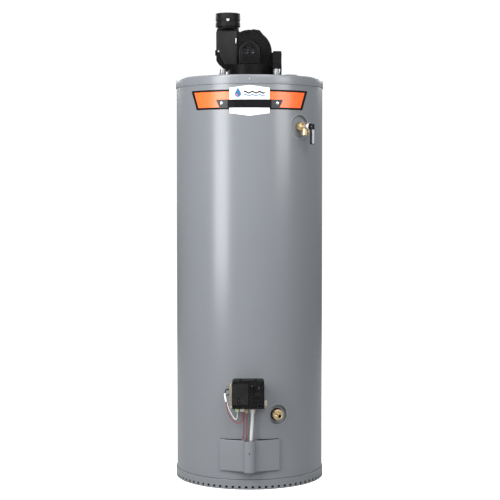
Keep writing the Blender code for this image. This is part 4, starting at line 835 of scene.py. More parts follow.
def make_inner_door():
    """The plate behind the outer door, with the sight glass and screws."""
    low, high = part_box("inner_door")
    half = high.x - 0.0004
    inner = 0.231
    outline = fillet(rect(-half, low.z, half, high.z, 0.006))
    plate = wrapped(outline, inner, inner + 0.0015, 0.003)
    igniter, sensor = middle("igniter"), middle("flame_sensor")
    gas_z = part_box("gas_tube")[0].z + GAS_TUBE_R
    glass = middle("sight_glass")
    holes = merged(disc(0.0085, 0.15, 0.3, 32, out_at(0.001, gas_z)), disc(0.0042, 0.15, 0.3, 24,
        out_at(igniter.x, igniter.z)), disc(0.0032, 0.15, 0.3, 24, out_at(sensor.x, sensor.z)),
        disc(0.0075, 0.15, 0.3, 32, out_at(glass.x, glass.z)))
    piece("burner_inner_door", combined(plate, holes), GALVANISED, replaces="inner_door")
    bezel = fillet([(0.0076, 0.2332), (0.0102, 0.2332), (0.0102, 0.2352, 0.0005), (0.0076, 0.2352, 0.0005)],
        steps=3)
    piece("sight_glass_bezel", lathe(bezel, 40, ring=True), PLATED, matrix=Matrix.Translation((glass.x,
        0.0033, glass.z)) @ OUT)
    for number, (x, z) in enumerate(((-0.068, 0.0875), (0.068, 0.0875), (-0.068, 0.1655), (0.068, 0.1655)),
            1):
        turn = Matrix.Rotation(math.asin(x / inner), 4, "Z")
        screw(f"inner_door_screw_{number}", turn @ Vector((0, -inner - 0.0015, z)), turn @ OUT, 0.004,
            hex_head=True)


# ---------------------------------------------------------------- gas control
def make_cover():
    """The gas control's cover, with its panel, port, bezels, status lens, clips and ribs."""
    low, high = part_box("control_cover")
    left, right, foot, front, back = low.x, high.x, low.z, low.y, high.y
    top = high.z - 0.003
    big, small, wall = 0.009, 0.003, PLASTIC_WALL

    def outline(inset):
        return fillet([(left + inset, foot + inset, max(small - inset, 0.001)),
            (right - inset, foot + inset, max(small - inset, 0.001)), (right - inset, top - inset,
            big - inset), (left + inset, top - inset, big - inset)], steps=8)

    case = prism(outline(0.0), front, back, "y", rim=0.0018, steps=4)
    dial, button = middle("temperature_dial"), middle("set_button")
    lens_x, lens_z = 0.034, dial.z
    wedge = [(front - 0.002, top - 0.0105), (front + 0.004, top + 0.002), (front - 0.002, top + 0.002)]
    cutters = [prism(outline(wall), front + wall, back + 0.01, "y"), bored(0.0045, 0.36, 0.39,
        Matrix.Translation((dial.x, 0, dial.z))), bored(0.0103, 0.36, 0.39,
        Matrix.Translation((button.x, 0, button.z))), block(*SWITCH_SLOT, 0.0008, 2),
        block(*SERVICE_PORT, 0.0008, 2), prism(wedge, left - 0.01, right + 0.01, "x"),
        block((-0.0042, front - 0.001, foot - 0.01), (-0.003, front + 0.0009, top + 0.01))]
    for cutter in cutters:
        case = combined(case, cutter)
    piece("control_housing", case, BLACK, replaces="control_cover", angle=30)

    panel = fillet(rect(left + 0.003, foot + 0.015, -0.005, top - 0.0125, 0.0015), steps=4)
    shell = combined(prism(panel, front - 0.0006, front + 0.0001, "y", rim=0.0004, steps=2),
        block(*SERVICE_PORT, 0.0008, 2))
    piece("control_panel_left", shell, BLACK_SATIN)
    plug = block((-0.043, front + 0.003, 0.336), (-0.036, front + 0.009, 0.352), 0.0005, 2)
    piece("service_port_plug", plug, GLOSS_BLACK)
    for row in range(3):
        z = 0.3385 + 0.005 * row
        piece(f"service_port_pin_{row + 1}", block((-0.0402, front + 0.0015, z),
            (-0.0388, front + 0.0035, z + 0.0014)), BRASS)
    for name, spot, inner, outer in (("dial", dial, 0.0104, 0.0124), ("button", button, 0.0105, 0.0118)):
        ring = fillet([(inner, -front - 0.0004), (outer, -front - 0.0004), (outer, -front + 0.0009, 0.0004),
            (inner, -front + 0.0009, 0.0004)], steps=3)
        piece(f"{name}_bezel", lathe(ring, 64, ring=True), BLACK_SATIN, matrix=out_at(spot.x, spot.z))

    def oval(half_width, half_height):
        return [(lens_x + half_width * x, lens_z + half_height * z) for x, z in polygon(1.0, 0.0, 32)]

    piece("status_lens_rim", prism(oval(0.0034, 0.0043), front - 0.0006, front + 0.0002, "y", rim=0.0003,
        steps=2), BLACK_SATIN)
    piece("status_lens", prism(oval(0.0025, 0.0034), front - 0.0014, front, "y", rim=0.0007, steps=3),
        AMBER)
    slot_rim = combined(block((0.027, front - 0.0006, 0.319), (0.041, front + 0.0002, 0.332), 0.0004, 2),
        block(*SWITCH_SLOT))
    piece("switch_bezel", slot_rim, BLACK_SATIN)
    for name, x in (("left", -0.032), ("right", 0.0215)):
        clip = block((x - 0.004, -0.365, top - 0.001), (x + 0.004, -0.34, top + 0.003), 0.001)
        piece(f"cover_clip_{name}", clip, BLACK)
    for name, start, end in (("right", right - 0.0004, right + 0.0006), ("left", left - 0.0006,
            left + 0.0004)):
        ribs = merged(*[block((start, front + 0.012 + 0.006 * i, foot + 0.018),
            (end, front + 0.0145 + 0.006 * i, top - 0.022), 0.0004, 2) for i in range(6)])
        piece(f"cover_side_ribs_{name}", ribs, BLACK)


def make_controls():
    """The dial, button and power switch that move in the cover."""
    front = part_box("control_cover")[0].y
    dial = middle("temperature_dial")
    flutes = 24
    rim = []
    for i in range(flutes * 8):
        a = 2 * math.pi * i / (flutes * 8)
        radius = 0.0097 + 0.0003 * math.cos(flutes * a)
        rim.append((radius * math.cos(a), radius * math.sin(a)))
    knob = prism(rim, 0.0004, 0.007, "z", rim=0.0006, steps=2)
    dish = lathe(fillet([(0, 0.0058), (0.0062, 0.0058, 0.0008), (0.0072, 0.0075), (0, 0.0075)], False), 48)
    knob = combined(knob, dish)
    blade = block((-0.0011, -0.0066, 0.005), (0.0011, 0.0066, 0.0078), 0.0004, 2)
    knob = merged(knob, disc(0.004, -0.009, 0.001, 32))
    place = Matrix.Translation((dial.x, front, dial.z)) @ OUT
    piece("dial_knob", knob, BLACK, "temperature_dial", replaces="temperature_dial", matrix=place)
    piece("dial_grip_blade", blade, BLACK_SATIN, "temperature_dial", matrix=place)
    mark = block((-0.0004, 0.0074, 0.0068), (0.0004, 0.0092, 0.0073), 0.0001, 1)
    piece("dial_pointer", mark, WHITE_PLASTIC, "temperature_dial", matrix=place)

    button = middle("set_button")
    cap = lathe(fillet([(0, -0.01), (0.0099, -0.01), (0.0099, 0.0034, 0.0009), (0.006, 0.0029, 0.002),
        (0, 0.0026)], False), 64)
    piece("set_button_cap", cap, GLOSS_BLACK, "set_button", replaces="set_button",
        matrix=Matrix.Translation((button.x, front, button.z)) @ OUT)
    low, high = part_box("power_switch")
    body = block(low, high, 0.0004, 2)
    ridges = merged(*[block((low.x + 0.0006, low.y - 0.0003, low.z + 0.0012 + 0.0022 * i),
        (high.x - 0.0006, low.y + 0.0005, low.z + 0.002 + 0.0022 * i)) for i in range(4)])
    piece("power_switch_slider", body, BLACK_SATIN, "power_switch", replaces="power_switch")
    piece("power_switch_ridges", ridges, BLACK_SATIN, "power_switch")


def make_casting():
    """The gas valve's casting, with its inlet, flare nut, terminals and bracket."""
    low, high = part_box("gas_valve_casting")
    left, front, back, foot, top = low.x, low.y, high.y, 0.305, high.z
    right, boss_r = 0.05, 0.0139
    outline = fillet([(left, foot, 0.004), (right, foot, 0.004), (right, top, 0.006), (left, top, 0.006)],
        steps=5)
    case = prism(outline, front, back, "y", rim=0.0016, steps=3)
    bore_y, bore_z = -0.3015, 0.3195
    boss = polygon(boss_r, 22.5, 8, (bore_y, bore_z))
    case = combined(case, prism(boss, 0.044, 0.064, "x", rim=0.0008, steps=2), "UNION")
    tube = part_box("gas_tube")
    case = combined(case, disc(0.0108, 0.2996, 0.31, 40, Matrix.Translation((0.011, -0.301, 0))), "UNION")
    case = combined(case, disc(0.0103, 0.04, 0.07, 48, Matrix.Translation((0, bore_y, bore_z)) @ RIGHT))
    pockets = [block((left - 0.002, front + 0.006, foot + 0.01 + 0.028 * i),
        (left + 0.002, back - 0.006, foot + 0.03 + 0.028 * i), 0.001, 2) for i in range(3)]
    case = combined(case, merged(*pockets))
    piece("gas_valve_body", case, CAST, replaces="gas_valve_casting", angle=30)
    rings = []
    for i in range(9):
        rings += [(0.0103, 0.064 - 0.0018 * i - 0.0004), (0.0095, 0.064 - 0.0018 * i - 0.0013)]
    thread = [(0.01025, 0.0472)] + list(reversed(rings)) + [(0.01025, 0.0637)]
    piece("gas_inlet_thread", lathe(thread, 48, Matrix.Translation((0, bore_y, bore_z)) @ RIGHT), CAST)
    nut_low = tube[1].z - 0.0135
    nut = combined(prism(polygon(0.01), nut_low, tube[1].z - 0.0002, "z"),
        lathe(fillet([(0, nut_low - 0.001), (0.0082, nut_low - 0.001), (0.0104, nut_low + 0.0015),
        (0.0104, tube[1].z)], False) + [(0, tube[1].z)], 48), "INTERSECT")
    nut = combined(nut, disc(0.0066, nut_low - 0.01, tube[1].z + 0.01, 32))
    piece("gas_flare_nut", nut, ALUMINIUM, matrix=Matrix.Translation((0.0109, -0.301, 0)))
    for number, (x, z) in enumerate(((left + 0.006, foot + 0.006), (left + 0.006, top - 0.007)), 1):
        screw(f"casting_screw_{number}", (x, front - 0.0002, z), OUT, 0.0032, hex_head=True)
    terminal = block((left - 0.006, -0.307, 0.385), (left + 0.002, -0.303, 0.394), 0.0008, 2)
    piece("ground_terminal", terminal, OLIVE_METAL)
    blade = block((left - 0.0035, -0.3075, 0.3672), (left + 0.002, -0.3045, 0.3728), 0.0006, 2)
    piece("lead_terminal", blade, PLATED)
    bracket = merged(block((-0.018, -0.3125, 0.288), (-0.005, -0.3112, 0.305), 0.0005, 2),
        block((-0.018, -0.3125, 0.303), (-0.005, -0.295, 0.3056), 0.0005, 2))
    piece("igniter_bracket", bracket, OLIVE_METAL)


RED = [(-0.0858, -0.305, 0.3278), (-0.082, -0.306, 0.3085), (-0.0748, -0.311, 0.283),
    (-0.06, -0.321, 0.2625), (-0.043, -0.327, 0.2545), (-0.029, -0.333, 0.26), (-0.0225, -0.339, 0.275),
    (-0.026, -0.344, 0.293), (-0.029, -0.346, 0.3075)]
WHITE = [(-0.082, -0.305, 0.3276), (-0.0782, -0.306, 0.31), (-0.0675, -0.311, 0.288),
    (-0.053, -0.319, 0.268), (-0.0455, -0.332, 0.272), (-0.044, -0.342, 0.288), (-0.045, -0.346, 0.3075)]
DARK = [(-0.0735, -0.306, 0.37), (-0.079, -0.308, 0.3745), (-0.086, -0.307, 0.371),
    (-0.0893, -0.305, 0.3597)]
SLEEVE = [(-0.089, -0.305, 0.359), (-0.087, -0.305, 0.344), (-0.0845, -0.305, 0.3285)]
IGNITER = [(-0.0087, -0.308, 0.3044), (-0.0092, -0.3075, 0.26), (-0.0112, -0.304, 0.2),
    (-0.015, -0.296, 0.165), (-0.023, -0.28, 0.15), (-0.031, -0.26, 0.15), (-0.033, -0.2465, 0.15)]
SENSOR = [(-0.02, -0.305, 0.3044), (-0.0205, -0.302, 0.26), (-0.0215, -0.293, 0.2), (-0.03, -0.285, 0.175),
    (-0.045, -0.27, 0.157), (-0.054, -0.256, 0.15), (-0.055, -0.2465, 0.15)]


def make_leads():
    """The wires, the woven sleeve that holds their upper ends, and the connectors."""
    for name, points, length, radius, mat, node in (("red_lead", RED, 0.162, 0.0018, RED_WIRE, "lead_red"),
            ("white_lead", WHITE, 0.125, 0.0014, WHITE_WIRE, "lead_white"),
            ("igniter_wire", IGNITER, 0.2, 0.0015, RED_WIRE, "igniter_lead"),
            ("sensor_wire", SENSOR, 0.189, 0.0015, RED_WIRE, "sensor_lead")):
        route = smooth_route(points)
        lead = piece(name, rod_along(route, radius, 4), mat, replaces=node)
    piece("black_lead", rod_along(smooth_route(DARK), 0.002, 4), RUBBER, replaces="lead_black")
    route = smooth_route(SLEEVE, 24)
    twist, walked, pitch, braid_r, braid_size = [], 0.0, 0.0042, 0.0036, 0.001
    for a, b in zip(route, route[1:]):
        for step in range(3):
            spot = a.lerp(b, step / 3)
            turn = 2 * math.pi * (walked + (b - a).length * step / 3) / pitch
            twist.append(spot + Vector((math.cos(turn) * braid_r, math.sin(turn) * braid_r, 0)))
        walked += (b - a).length
    piece("lead_sleeve_core", rod_along(route, 0.004, 4), WHITE_SLEEVE, replaces="lead_sleeve")
    piece("lead_sleeve_braid", rod_along(twist, braid_size, 3), WHITE_SLEEVE)
    stub = [(-0.0718, -0.306, 0.353), (-0.078, -0.3085, 0.354), (-0.0835, -0.3085, 0.352),
        (-0.0862, -0.306, 0.347)]
    piece("black_lead_low", rod_along(smooth_route(stub), 0.0017, 4), RUBBER)
    # Moulded connectors under the control, where the red and white leads end.
    for name, low, high, mat in (("green_connector", (-0.052, -0.353, 0.2995), (-0.0395, -0.342, 0.319),
            GREEN_PLASTIC), ("white_connector", (-0.034, -0.353, 0.3005), (-0.018, -0.342, 0.319),
            WHITE_PLASTIC), ("yellow_latch", (-0.044, -0.379, 0.3075), (-0.0385, -0.35, 0.3125),
            YELLOW_PLASTIC)):
        body = block(low, high, 0.0008, 2)
        width = high[0] - low[0]
        grooves = merged(*[block((low[0] + width * (0.2 + 0.3 * i), low[1] - 0.001, low[2] + 0.002),
            (low[0] + width * (0.2 + 0.3 * i) + 0.0008, low[1] + 0.0006, high[2] - 0.002))
            for i in range(3)])
        piece(name, combined(body, grooves), mat)


def make_gas_tube():
    """The tube from the control, behind the door channel and round into the burner."""
    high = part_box("gas_tube")[1]
    knee = [(0.003, y, z) for y, z in arc(0.035, 180, 270, 18, (-0.2655, 0.098 + 0.035))]
    drop = [(0.011, -0.301, high.z), (0.0095, -0.301, 0.26), (0.006, -0.3008, 0.2)]
    run = [(0.001, -0.235, 0.098), (0.0, high.y, 0.098)]
    route = smooth_route(drop + knee[:1], 10)[:-1] + [Vector(p) for p in knee + run]
    piece("gas_supply_tube", rod_along(route, GAS_TUBE_R, 6), ALUMINIUM, replaces="gas_tube")


# ---------------------------------------------------------------- blower
def scroll_outline(inset, top):
    """The volute with its outlet duct on the left, seen from the front and shrunk by inset."""
    duct_left, duct_right, floor, steps = -0.1255, -0.0405, 1.5405, 96

    def radius(swept):
        return 0.0815 + 0.048 * (swept / 300) ** 4 - inset

    right = duct_right - inset
    start = math.degrees(math.acos(right / radius(0)))
    points = []
    for i in range(steps + 1):
        angle = math.radians(start + (-165 - start) * i / steps)
        reach = radius(max(135 - math.degrees(angle), 0))
        points.append((reach * math.cos(angle), max(SHAFT_Z + reach * math.sin(angle), floor + inset)))
    low = [p for p in points if p[1] <= floor + inset]
    points = [p for p in points if p not in low[1:-1]]
    left = duct_left + inset
    return points + [(left, SHAFT_Z + 0.012), (left, top), (right, top)]


def make_scroll():
    """Both halves of the blower scroll, with flange, lugs, screws and front panel."""
    front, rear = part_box("scroll_front"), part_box("scroll_rear")
    y_front, y_split, y_rear = front[0].y, front[1].y, rear[1].y
    top, wall = front[1].z, PLASTIC_WALL
    hollow = scroll_outline(wall, top + 0.01)
    shell = prism(scroll_outline(0.0, top), y_front, y_split, "y", rim=0.0022, steps=4)
    shell = combined(shell, prism(hollow, y_front + wall, 0.05, "y"))
    shell = combined(shell, disc(0.006, 0.0, 0.03, 32, out_at(0, SHAFT_Z)))
    piece("scroll_front_shell", shell, BLACK, replaces="scroll_front", angle=30)
    shell = prism(scroll_outline(0.0, top), y_split + 0.0003, y_rear, "y", rim=0.0022, steps=4)
    shell = combined(shell, prism(hollow, -0.05, y_rear - wall, "y"))
    shell = combined(shell, disc(0.032, 0.03, 0.06, 64, Matrix.Translation((0, 0, SHAFT_Z)) @ BACK))
    piece("scroll_rear_shell", shell, BLACK, replaces="scroll_rear", angle=30)
    flange = combined(prism(scroll_outline(-0.0028, top - 0.004), y_split - 0.0024, y_split + 0.0026, "y",
        rim=0.0006, steps=2), prism(scroll_outline(0.0002, top + 0.02), -0.05, 0.05, "y"))
    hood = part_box("blower_hood")
    flange = combined(flange, block((-0.2, -0.1, 1.5), (0.2, 0.1, hood[1].z + 0.0008)))
    piece("scroll_flange", flange, BLACK)
    corner = [(0.01, SHAFT_Z + 0.078), (0.04, SHAFT_Z + 0.065), (0.064, SHAFT_Z + 0.044),
        (0.0735, SHAFT_Z + 0.0365), (0.0385, SHAFT_Z + 0.08, 0.006), (0.011, SHAFT_Z + 0.0838)]
    piece("scroll_corner_lug", prism(fillet(corner), y_front + 0.0006, y_split + 0.003, "y", rim=0.0006),
        BLACK)
    for number, (angle, reach) in enumerate(((60.5, 0.08), (97, 0.0755), (22, 0.0755)), 1):
        at = (reach * math.cos(math.radians(angle)), SHAFT_Z + reach * math.sin(math.radians(angle)))
        ear = disc(0.0052, -y_front - 0.001, -y_front + 0.003, 32, out_at(at[0], at[1]), edge=0.0008)
        piece(f"scroll_ear_{number}", ear, BLACK)
        screw(f"scroll_screw_{number}", (at[0], y_front - 0.0031, at[1]), OUT, 0.0028, mat=BLACK_STEEL)
    ear_low, ear_high = (-0.1322, y_split - 0.01, 1.6145), (-0.1245, y_split + 0.014, 1.634)
    piece("duct_ear", block(ear_low, ear_high, 0.0018, 3), BLACK)
    screw("duct_ear_screw", (-0.119, y_front - 0.0044, 1.6258), OUT, 0.003)
    clip = block((-0.0532, y_front - 0.0058, 1.656), (-0.0505, y_front + 0.002, 1.6765), 0.0008, 2)
    piece("duct_clip", clip, STAINLESS)

    # The outlet duct is a raised panel on the front of the housing, with a deep groove beside it.
    edge_x = -0.0475
    panel = fillet([(-0.1225, 1.7035, 0.002), (edge_x, 1.7035, 0.002), (edge_x, 1.65, 0.0),
        (-0.044, 1.62, 0.02), (-0.047, 1.576, 0.002), (-0.095, 1.576, 0.004), (-0.1225, 1.633, 0.006)],
        steps=6)
    piece("duct_front_panel", prism(panel, y_front - 0.0042, y_front + 0.0004, "y", rim=0.0018, steps=4),
        BLACK_SATIN)
    ring = fillet([(0.0405, -y_front - 0.0004), (0.0455, -y_front - 0.0004),
        (0.0455, -y_front + 0.0022, 0.0008), (0.0405, -y_front + 0.0022, 0.0008)], steps=3)
    rib = combined(lathe(ring, 96, ring=True), block((-0.1, -0.1, -0.05), (0.1, -0.0535, 0.05)))
    rib.transform(out_at(0, SHAFT_Z))
    rib = combined(rib, block((-0.1, -0.05, 1.5), (-0.04, 0.05, 1.8)))
    piece("scroll_face_rib", rib, BLACK)


def make_hood():
    """The round base of the blower, notched for the scroll, with its feet."""
    low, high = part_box("blower_hood")
    radius, foot, top, wall = high.x, low.z, high.z, PLASTIC_WALL
    profile = fillet([(0.0, top), (radius - 0.0015, top, 0.0032), (radius - 0.0012, foot + 0.0075, 0.001),
        (radius, foot + 0.0065, 0.0008), (radius, foot, 0.0004), (radius - wall, foot),
        (radius - wall - 0.001, top - wall, 0.003), (0.0, top - wall)], closed=False, steps=5)
    shell = lathe(profile, 144)
    front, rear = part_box("scroll_front")[0].y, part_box("scroll_rear")[1].y
    shell = combined(shell, block((-0.1, front - 0.0003, 1.5402), (0.1, rear + 0.0003, 1.6)))
    shell = combined(shell, block((-0.032, 0.0475, 1.55), (0.032, 0.0765, 1.6)))
    piece("blower_hood_shell", shell, BLACK, replaces="blower_hood", angle=30)
    gusset = block((-0.0915, -0.02, foot + 0.0002), (-0.074, 0.03, foot + 0.014), 0.001, 2)
    piece("hood_gusset", gusset, BLACK)
    for number, azimuth in enumerate((-62, 62, 148, 212), 1):
        turn = turned(azimuth)
        foot_tab = prism(fillet([(-0.008, -0.099, 0.007), (0.008, -0.099, 0.007), (0.008, -0.084),
            (-0.008, -0.084)]), foot + 0.0001, foot + 0.003, "z", rim=0.0006, steps=2)
        piece(f"hood_foot_{number}", foot_tab, BLACK, matrix=turn)
        screw(f"hood_screw_{number}", turn @ Vector((0, -0.0925, foot + 0.0031)), turn, 0.0038, BLACK_STEEL,
            hex_head=True)


def arch_outline(half, low):
    """A round-topped outline about the blower's axis."""
    return arc(half, 0, 180, 48, (0, SHAFT_Z)) + [(-half, low), (half, low)]


def make_motor():
    """The motor and its cover in front of the scroll, and the inlet plenum behind."""
    low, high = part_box("motor_cover")
    half, foot, front, back, wall = high.x, low.z, low.y, high.y, 0.0022
    case = prism(arch_outline(half, foot), front, back, "y", rim=0.0036, steps=5)
    case = combined(case, prism(arch_outline(half - wall, foot + wall), front + wall, 0.0, "y"))
    slots = []
    for left in (-0.022, 0.004):
        for row in range(3):
            z = 1.614 + 0.009 * row
            slot = fillet([(left, z, 0.0015), (left + 0.018, z, 0.0015), (left + 0.018, z + 0.004, 0.0015),
                (left, z + 0.004, 0.0015)], steps=3)
            slots.append(prism(slot, -0.1, -0.07, "y"))
    case = combined(case, merged(*slots))
    piece("motor_cover_shell", case, BLACK, replaces="motor_cover", angle=30)
    rim = combined(prism(arch_outline(half + 0.0035, foot), back - 0.003, back, "y", rim=0.0006, steps=2),
        prism(arch_outline(half - 0.0002, foot - 0.01), -0.1, 0.1, "y"))
    piece("motor_cover_rim", rim, BLACK_SATIN)
    face = arch_outline(half - 0.0075, foot + 0.006)
    groove = combined(prism(arch_outline(half - 0.006, foot + 0.0045), front - 0.0007, front + 0.0003, "y",
        rim=0.0003, steps=2), prism(face, -0.1, 0.1, "y"))
    piece("motor_cover_bead", groove, BLACK_SATIN)
    screw("motor_cover_screw", (0.0, front - 0.0002, 1.647), OUT, 0.0026, mat=BLACK_STEEL)
    windings = fillet([(0.0045, 0.024), (0.0285, 0.024, 0.002), (0.0285, 0.033, 0.002),
        (0.0262, 0.034, 0.001), (0.0262, 0.05, 0.001), (0.0285, 0.051, 0.002), (0.0285, 0.0595, 0.002),
        (0.0045, 0.0595)], steps=4)
    piece("motor_body", lathe(windings, 64, ring=True), GALVANISED, replaces="blower_motor",
        matrix=out_at(0, SHAFT_Z))

    low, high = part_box("inlet_plenum")
    half, foot, near, far, wall = high.x, low.z, low.y, high.y, PLASTIC_WALL
    case = prism(arch_outline(half, foot), near, far, "y", rim=0.0032, steps=4)
    case = combined(case, prism(arch_outline(half - wall, 1.5), 0.03, far - wall, "y"))
    piece("inlet_plenum_shell", case, BLACK, replaces="inlet_plenum", angle=30)
    ribs = merged(*[block((-0.024, far - 0.0004, 1.596 + 0.009 * i), (0.024, far + 0.001,
        1.599 + 0.009 * i), 0.0006, 2) for i in range(6)])
    piece("inlet_plenum_ribs", ribs, BLACK_SATIN)


def make_vent():
    """The adapter from the duct to a round spigot, and the rubber coupling on it."""
    low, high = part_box("outlet_adapter")
    at = upright_at(VENT)
    collar = fillet([(0.04, 1.7145), (0.0425, 1.7145, 0.0006), (0.0425, high.z, 0.0008), (0.04, high.z)],
        steps=3)
    piece("vent_spigot", lathe(collar, 96, ring=True), BLACK, matrix=at)
    half_x, half_y, sides = (high.x - low.x) / 2, 0.0325, 96
    form = bmesh.new()
    loops = []
    heights = 8
    for inset, order in ((0.0, range(heights + 1)), (PLASTIC_WALL, range(heights, -1, -1))):
        for step in order:
            t = step / heights
            ease = t * t * (3 - 2 * t)
            loop = []
            for i in range(sides):
                a = 2 * math.pi * (i + 0.5) / sides
                c, s = math.cos(a), math.sin(a)
                reach = min((half_x - inset) / max(abs(c), 1e-6), (half_y - inset) / max(abs(s), 1e-6))
                radius = reach * (1 - ease) + (0.0425 - inset) * ease
                loop.append(form.verts.new((radius * c, radius * s, low.z + (1.7155 - low.z) * t)))
            loops.append(loop)
    for below, above in zip(loops, loops[1:] + loops[:1]):
        for i in range(sides):
            j = (i + 1) % sides
            form.faces.new((below[i], below[j], above[j], above[i]))
    piece("vent_transition", to_mesh(form, at), BLACK, replaces="outlet_adapter")

    low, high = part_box("vent_coupling")
    radius, bore, grip = (high.x - low.x) / 2, 0.0447, 0.0431
    waist, stop = 1.742, 1.739
    profile = fillet([(bore, high.z - 0.0008), (bore + 0.0006, high.z, 0.0), (radius, high.z, 0.001),
        (radius, waist + 0.0048, 0.0008), (radius - 0.0016, waist + 0.003, 0.0006),
        (radius - 0.0016, waist - 0.003, 0.0006), (radius, waist - 0.0048, 0.0008), (radius, low.z, 0.0008),
        (grip, low.z), (grip, stop - 0.002), (0.0411, stop - 0.001), (0.0411, stop), (bore, stop)], steps=4)
    rubber = lathe(profile, 128, ring=True)
    tilt = math.radians(6.6)
    port = disc(0.0065, -0.09, 0.09, 32, Matrix.Translation((0, 0, 1.7525)) @ Matrix.Rotation(tilt, 4, "X")
        @ OUT)
    piece("vent_coupling_sleeve", combined(rubber, port), RUBBER, replaces="vent_coupling", matrix=at)
    for number, z in enumerate((1.7295, 1.766), 1):
        size = radius - 0.0002
        band = fillet([(size - 0.0006, z - 0.0028), (size + 0.0001, z - 0.0028, 0.0002),
            (size + 0.0001, z + 0.0028, 0.0002), (size - 0.0006, z + 0.0028)], steps=2)
        piece(f"vent_band_{number}", lathe(band, 128, ring=True), BLACK, matrix=at)
        housing = block((-0.007, radius - 0.0018, z - 0.004), (0.007, radius + 0.0055, z + 0.004), 0.0014,
            3)
        piece(f"clamp_housing_{number}", housing, PLATED, matrix=at)
        screw(f"clamp_screw_{number}", (VENT.x + 0.007, VENT.y + radius + 0.0018, z), RIGHT, 0.003,
            hex_head=True)


def make_junction_box():
    """The junction box beside the scroll, and the pressure switch."""
    low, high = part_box("junction_box")
    wall, seam = PLASTIC_WALL, 0.0195
    case = block(low, high, 0.0048, 5)
    case = combined(case, block((low.x + wall, low.y + wall, 1.5), (high.x - wall, high.y - wall,
        high.z - wall), 0.002, 2))
    groove = combined(block((low.x - 0.01, low.y - 0.01, high.z - seam - 0.0008),
        (high.x + 0.01, high.y + 0.01, high.z - seam)), block((low.x + 0.0008, low.y + 0.0008, 1.5),
        (high.x - 0.0008, high.y - 0.0008, 1.7), 0.004, 4))
    piece("junction_box_case", combined(case, groove), BLACK, replaces="junction_box", angle=30)
    for number, (y, z) in enumerate(((-0.034, 1.614), (0.034, 1.614)), 1):
        screw(f"junction_screw_{number}", (high.x - 0.0001, y, z), RIGHT, 0.003)
    web = arc(0.0812, -42, -4, 12, (0, SHAFT_Z)) + [(low.x + 0.001, SHAFT_Z - 0.0057),
        (low.x + 0.001, SHAFT_Z - 0.0545)]
    foot = block((0.0765, -0.022, low.z + 0.0002), (low.x + 0.002, 0.022, SHAFT_Z - 0.053), 0.0005, 2)
    piece("junction_box_foot", foot, BLACK)
    piece("junction_box_web", prism(web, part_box("scroll_front")[0].y + 0.004,
        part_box("scroll_rear")[1].y - 0.004, "y", rim=0.0006, steps=2), BLACK)
    plug = disc(0.011, 0, 0.0016, 40, Matrix.Translation((high.x - 0.0002, 0, 1.565)) @ RIGHT, 0.0008)
    piece("knockout_plug", plug, BLACK_SATIN)
    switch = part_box("pressure_switch")
    centre = (switch[0] + switch[1]) / 2
    radius = (switch[1].x - switch[0].x) / 2
    near, far = switch[0].y, switch[1].y
    profile = fillet([(0, near), (radius - 0.001, near, 0.0008), (radius - 0.001, near + 0.007, 0.0005),
        (radius, near + 0.0072, 0.0004), (radius, near + 0.011, 0.0006), (radius - 0.003, near + 0.018,
        0.001), (0.003, near + 0.0184, 0.0003), (0.0026, far - 0.002, 0.0003),
        (0.003, far - 0.0015, 0.0003), (0.0024, far), (0, far)], False, steps=3)
    piece("pressure_switch_body", lathe(profile, 64), BLACK_SATIN, replaces="pressure_switch",
        matrix=Matrix.Translation((centre.x, 0, centre.z)) @ BACK)


# ---------------------------------------------------------------- parts kept from the frame
def keep_frame_parts():
    """CAD parts whose shape stays, with this script's finishes."""
    kept = {"base_pan": PAINT, "foam_insulation": FOAM, "tank_shell": TANK_STEEL,
        "tank_top_head": TANK_STEEL, "tank_bottom_head": TANK_STEEL, "flue_tube": TANK_STEEL,
        "flue_baffle": BURNT_STEEL, "dip_tube": WHITE_PLASTIC, "anode_rod": ALUMINIUM,
        "chamber_floor": TANK_STEEL, "flame_arrestor": CERAMIC, "burner_pan": BURNT_STEEL,
        "mixer_tube": GALVANISED, "door_gasket": GASKET, "sight_glass": GLASS, "igniter": CERAMIC,
        "flame_sensor": CERAMIC, "thermowell": BRASS, "relief_spring": STAINLESS,
        "blower_wheel": GALVANISED, "cooling_fan": GREY_PLASTIC, "motor_shaft": STAINLESS}
    for node, mat in kept.items():
        mesh = frame["nodes"][node].data
        mesh.materials.clear()
        mesh.materials.append(mat)


# ---------------------------------------------------------------- stage, lights and camera
def floor_material():
    """Pale and even to the camera, and dimmer towards the object than it looks."""
    made = bpy.data.materials.new("pale_floor")
    made.use_nodes = True
    nodes, links = made.node_tree.nodes, made.node_tree.links
    shader = nodes["Principled BSDF"]
    shader.inputs["Base Color"].default_value = (0.8, 0.8, 0.8, 1.0)
    shader.inputs["Roughness"].default_value = 0.9
    shader.inputs["Emission Color"].default_value = (1, 1, 1, 1)
    shader.inputs["Emission Strength"].default_value = 0.82
    bounce = nodes.new("ShaderNodeBsdfDiffuse")
    bounce.inputs["Color"].default_value = (0.42, 0.42, 0.42, 1.0)
    seen, mix = nodes.new("ShaderNodeLightPath"), nodes.new("ShaderNodeMixShader")
    links.new(seen.outputs["Is Camera Ray"], mix.inputs["Fac"])
    links.new(bounce.outputs["BSDF"], mix.inputs[1])
    links.new(shader.outputs["BSDF"], mix.inputs[2])
    links.new(mix.outputs["Shader"], nodes["Material Output"].inputs["Surface"])
    return made


def area_light(name, at, target, size, power):
    lamp = bpy.data.lights.new(name, "AREA")
    lamp.shape = "RECTANGLE"
    lamp.size, lamp.size_y = size
    lamp.energy = power
    made = bpy.data.objects.new(name, lamp)
    SCENE.collection.objects.link(made)
    made.location = at
    made.rotation_euler = (Vector(target) - Vector(at)).to_track_quat("-Z", "Y").to_euler()


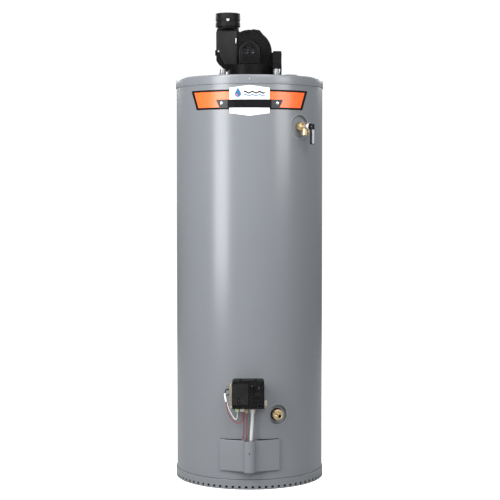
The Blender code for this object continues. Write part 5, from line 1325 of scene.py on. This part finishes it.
def make_stage():
    form = bmesh.new()
    bmesh.ops.create_grid(form, x_segments=1, y_segments=1, size=30.0)
    floor = bpy.data.objects.new("floor", to_mesh(form))
    SCENE.collection.objects.link(floor)
    floor.location.z = -0.0005
    floor.data.materials.append(floor_material())

    world = bpy.data.worlds.new("studio")
    SCENE.world = world
    world.use_nodes = True
    nodes, links = world.node_tree.nodes, world.node_tree.links
    nodes.clear()
    output = nodes.new("ShaderNodeOutputWorld")
    mix = nodes.new("ShaderNodeMixShader")
    seen = nodes.new("ShaderNodeLightPath")
    ambient, backdrop = nodes.new("ShaderNodeBackground"), nodes.new("ShaderNodeBackground")
    ambient.inputs["Color"].default_value = (0.97, 0.985, 1.0, 1.0)
    ambient.inputs["Strength"].default_value = 0.33
    backdrop.inputs["Color"].default_value = (1, 1, 1, 1)
    backdrop.inputs["Strength"].default_value = 1.05
    links.new(seen.outputs["Is Camera Ray"], mix.inputs["Fac"])
    links.new(ambient.outputs["Background"], mix.inputs[1])
    links.new(backdrop.outputs["Background"], mix.inputs[2])
    links.new(mix.outputs["Shader"], output.inputs["Surface"])

    area_light("key_left", (-1.76, -1.93, 1.4), (0, 0, 1.4), (1.0, 1.7), 52.0)
    area_light("fill_high_left", (-1.9, -2.5, 3.1), (0, 0, 0.8), (1.6, 1.6), 103.0)
    area_light("fill_high_front", (1.3, -3.2, 3.0), (0, 0, 0.8), (1.8, 1.6), 82.0)
    area_light("accent_right", (1.85, -1.55, 1.65), (0, 0, 1.6), (0.9, 0.85), 17.0)
    area_light("top_soft", (0.0, -0.3, 3.6), (0, 0, 1.4), (2.2, 2.2), 20.0)
    area_light("back_left", (-2.0, 2.9, 2.6), (0, 0, 0.9), (1.6, 1.6), 60.0)
    area_light("back_right", (2.0, 2.9, 2.6), (0, 0, 0.9), (1.6, 1.6), 60.0)


def make_camera():
    """Set a little below the middle of the height, tilted down, with the frame shifted to stand upright."""
    lens, distance, height, tilt, shift = 94.89, 5.077, 1.1227, 1.799, -0.0507
    data = bpy.data.cameras.new("camera")
    data.lens = lens
    data.sensor_width = 36.0
    data.shift_x = 0.001
    data.shift_y = shift
    camera = bpy.data.objects.new("camera", data)
    SCENE.collection.objects.link(camera)
    camera.location = (0, -distance, height)
    camera.rotation_euler = (math.radians(90 - tilt), 0, 0)
    SCENE.camera = camera


make_stage()
make_camera()
make_jacket()
make_lid()
make_base()
make_label()
make_top_fittings()
make_relief_valve()
make_drain_valve()
make_door()
make_inner_door()
make_cover()
make_controls()
make_casting()
make_leads()
make_gas_tube()
make_scroll()
make_hood()
make_motor()
make_vent()
make_junction_box()
keep_frame_parts()

SCENE.view_settings.view_transform = "Standard"
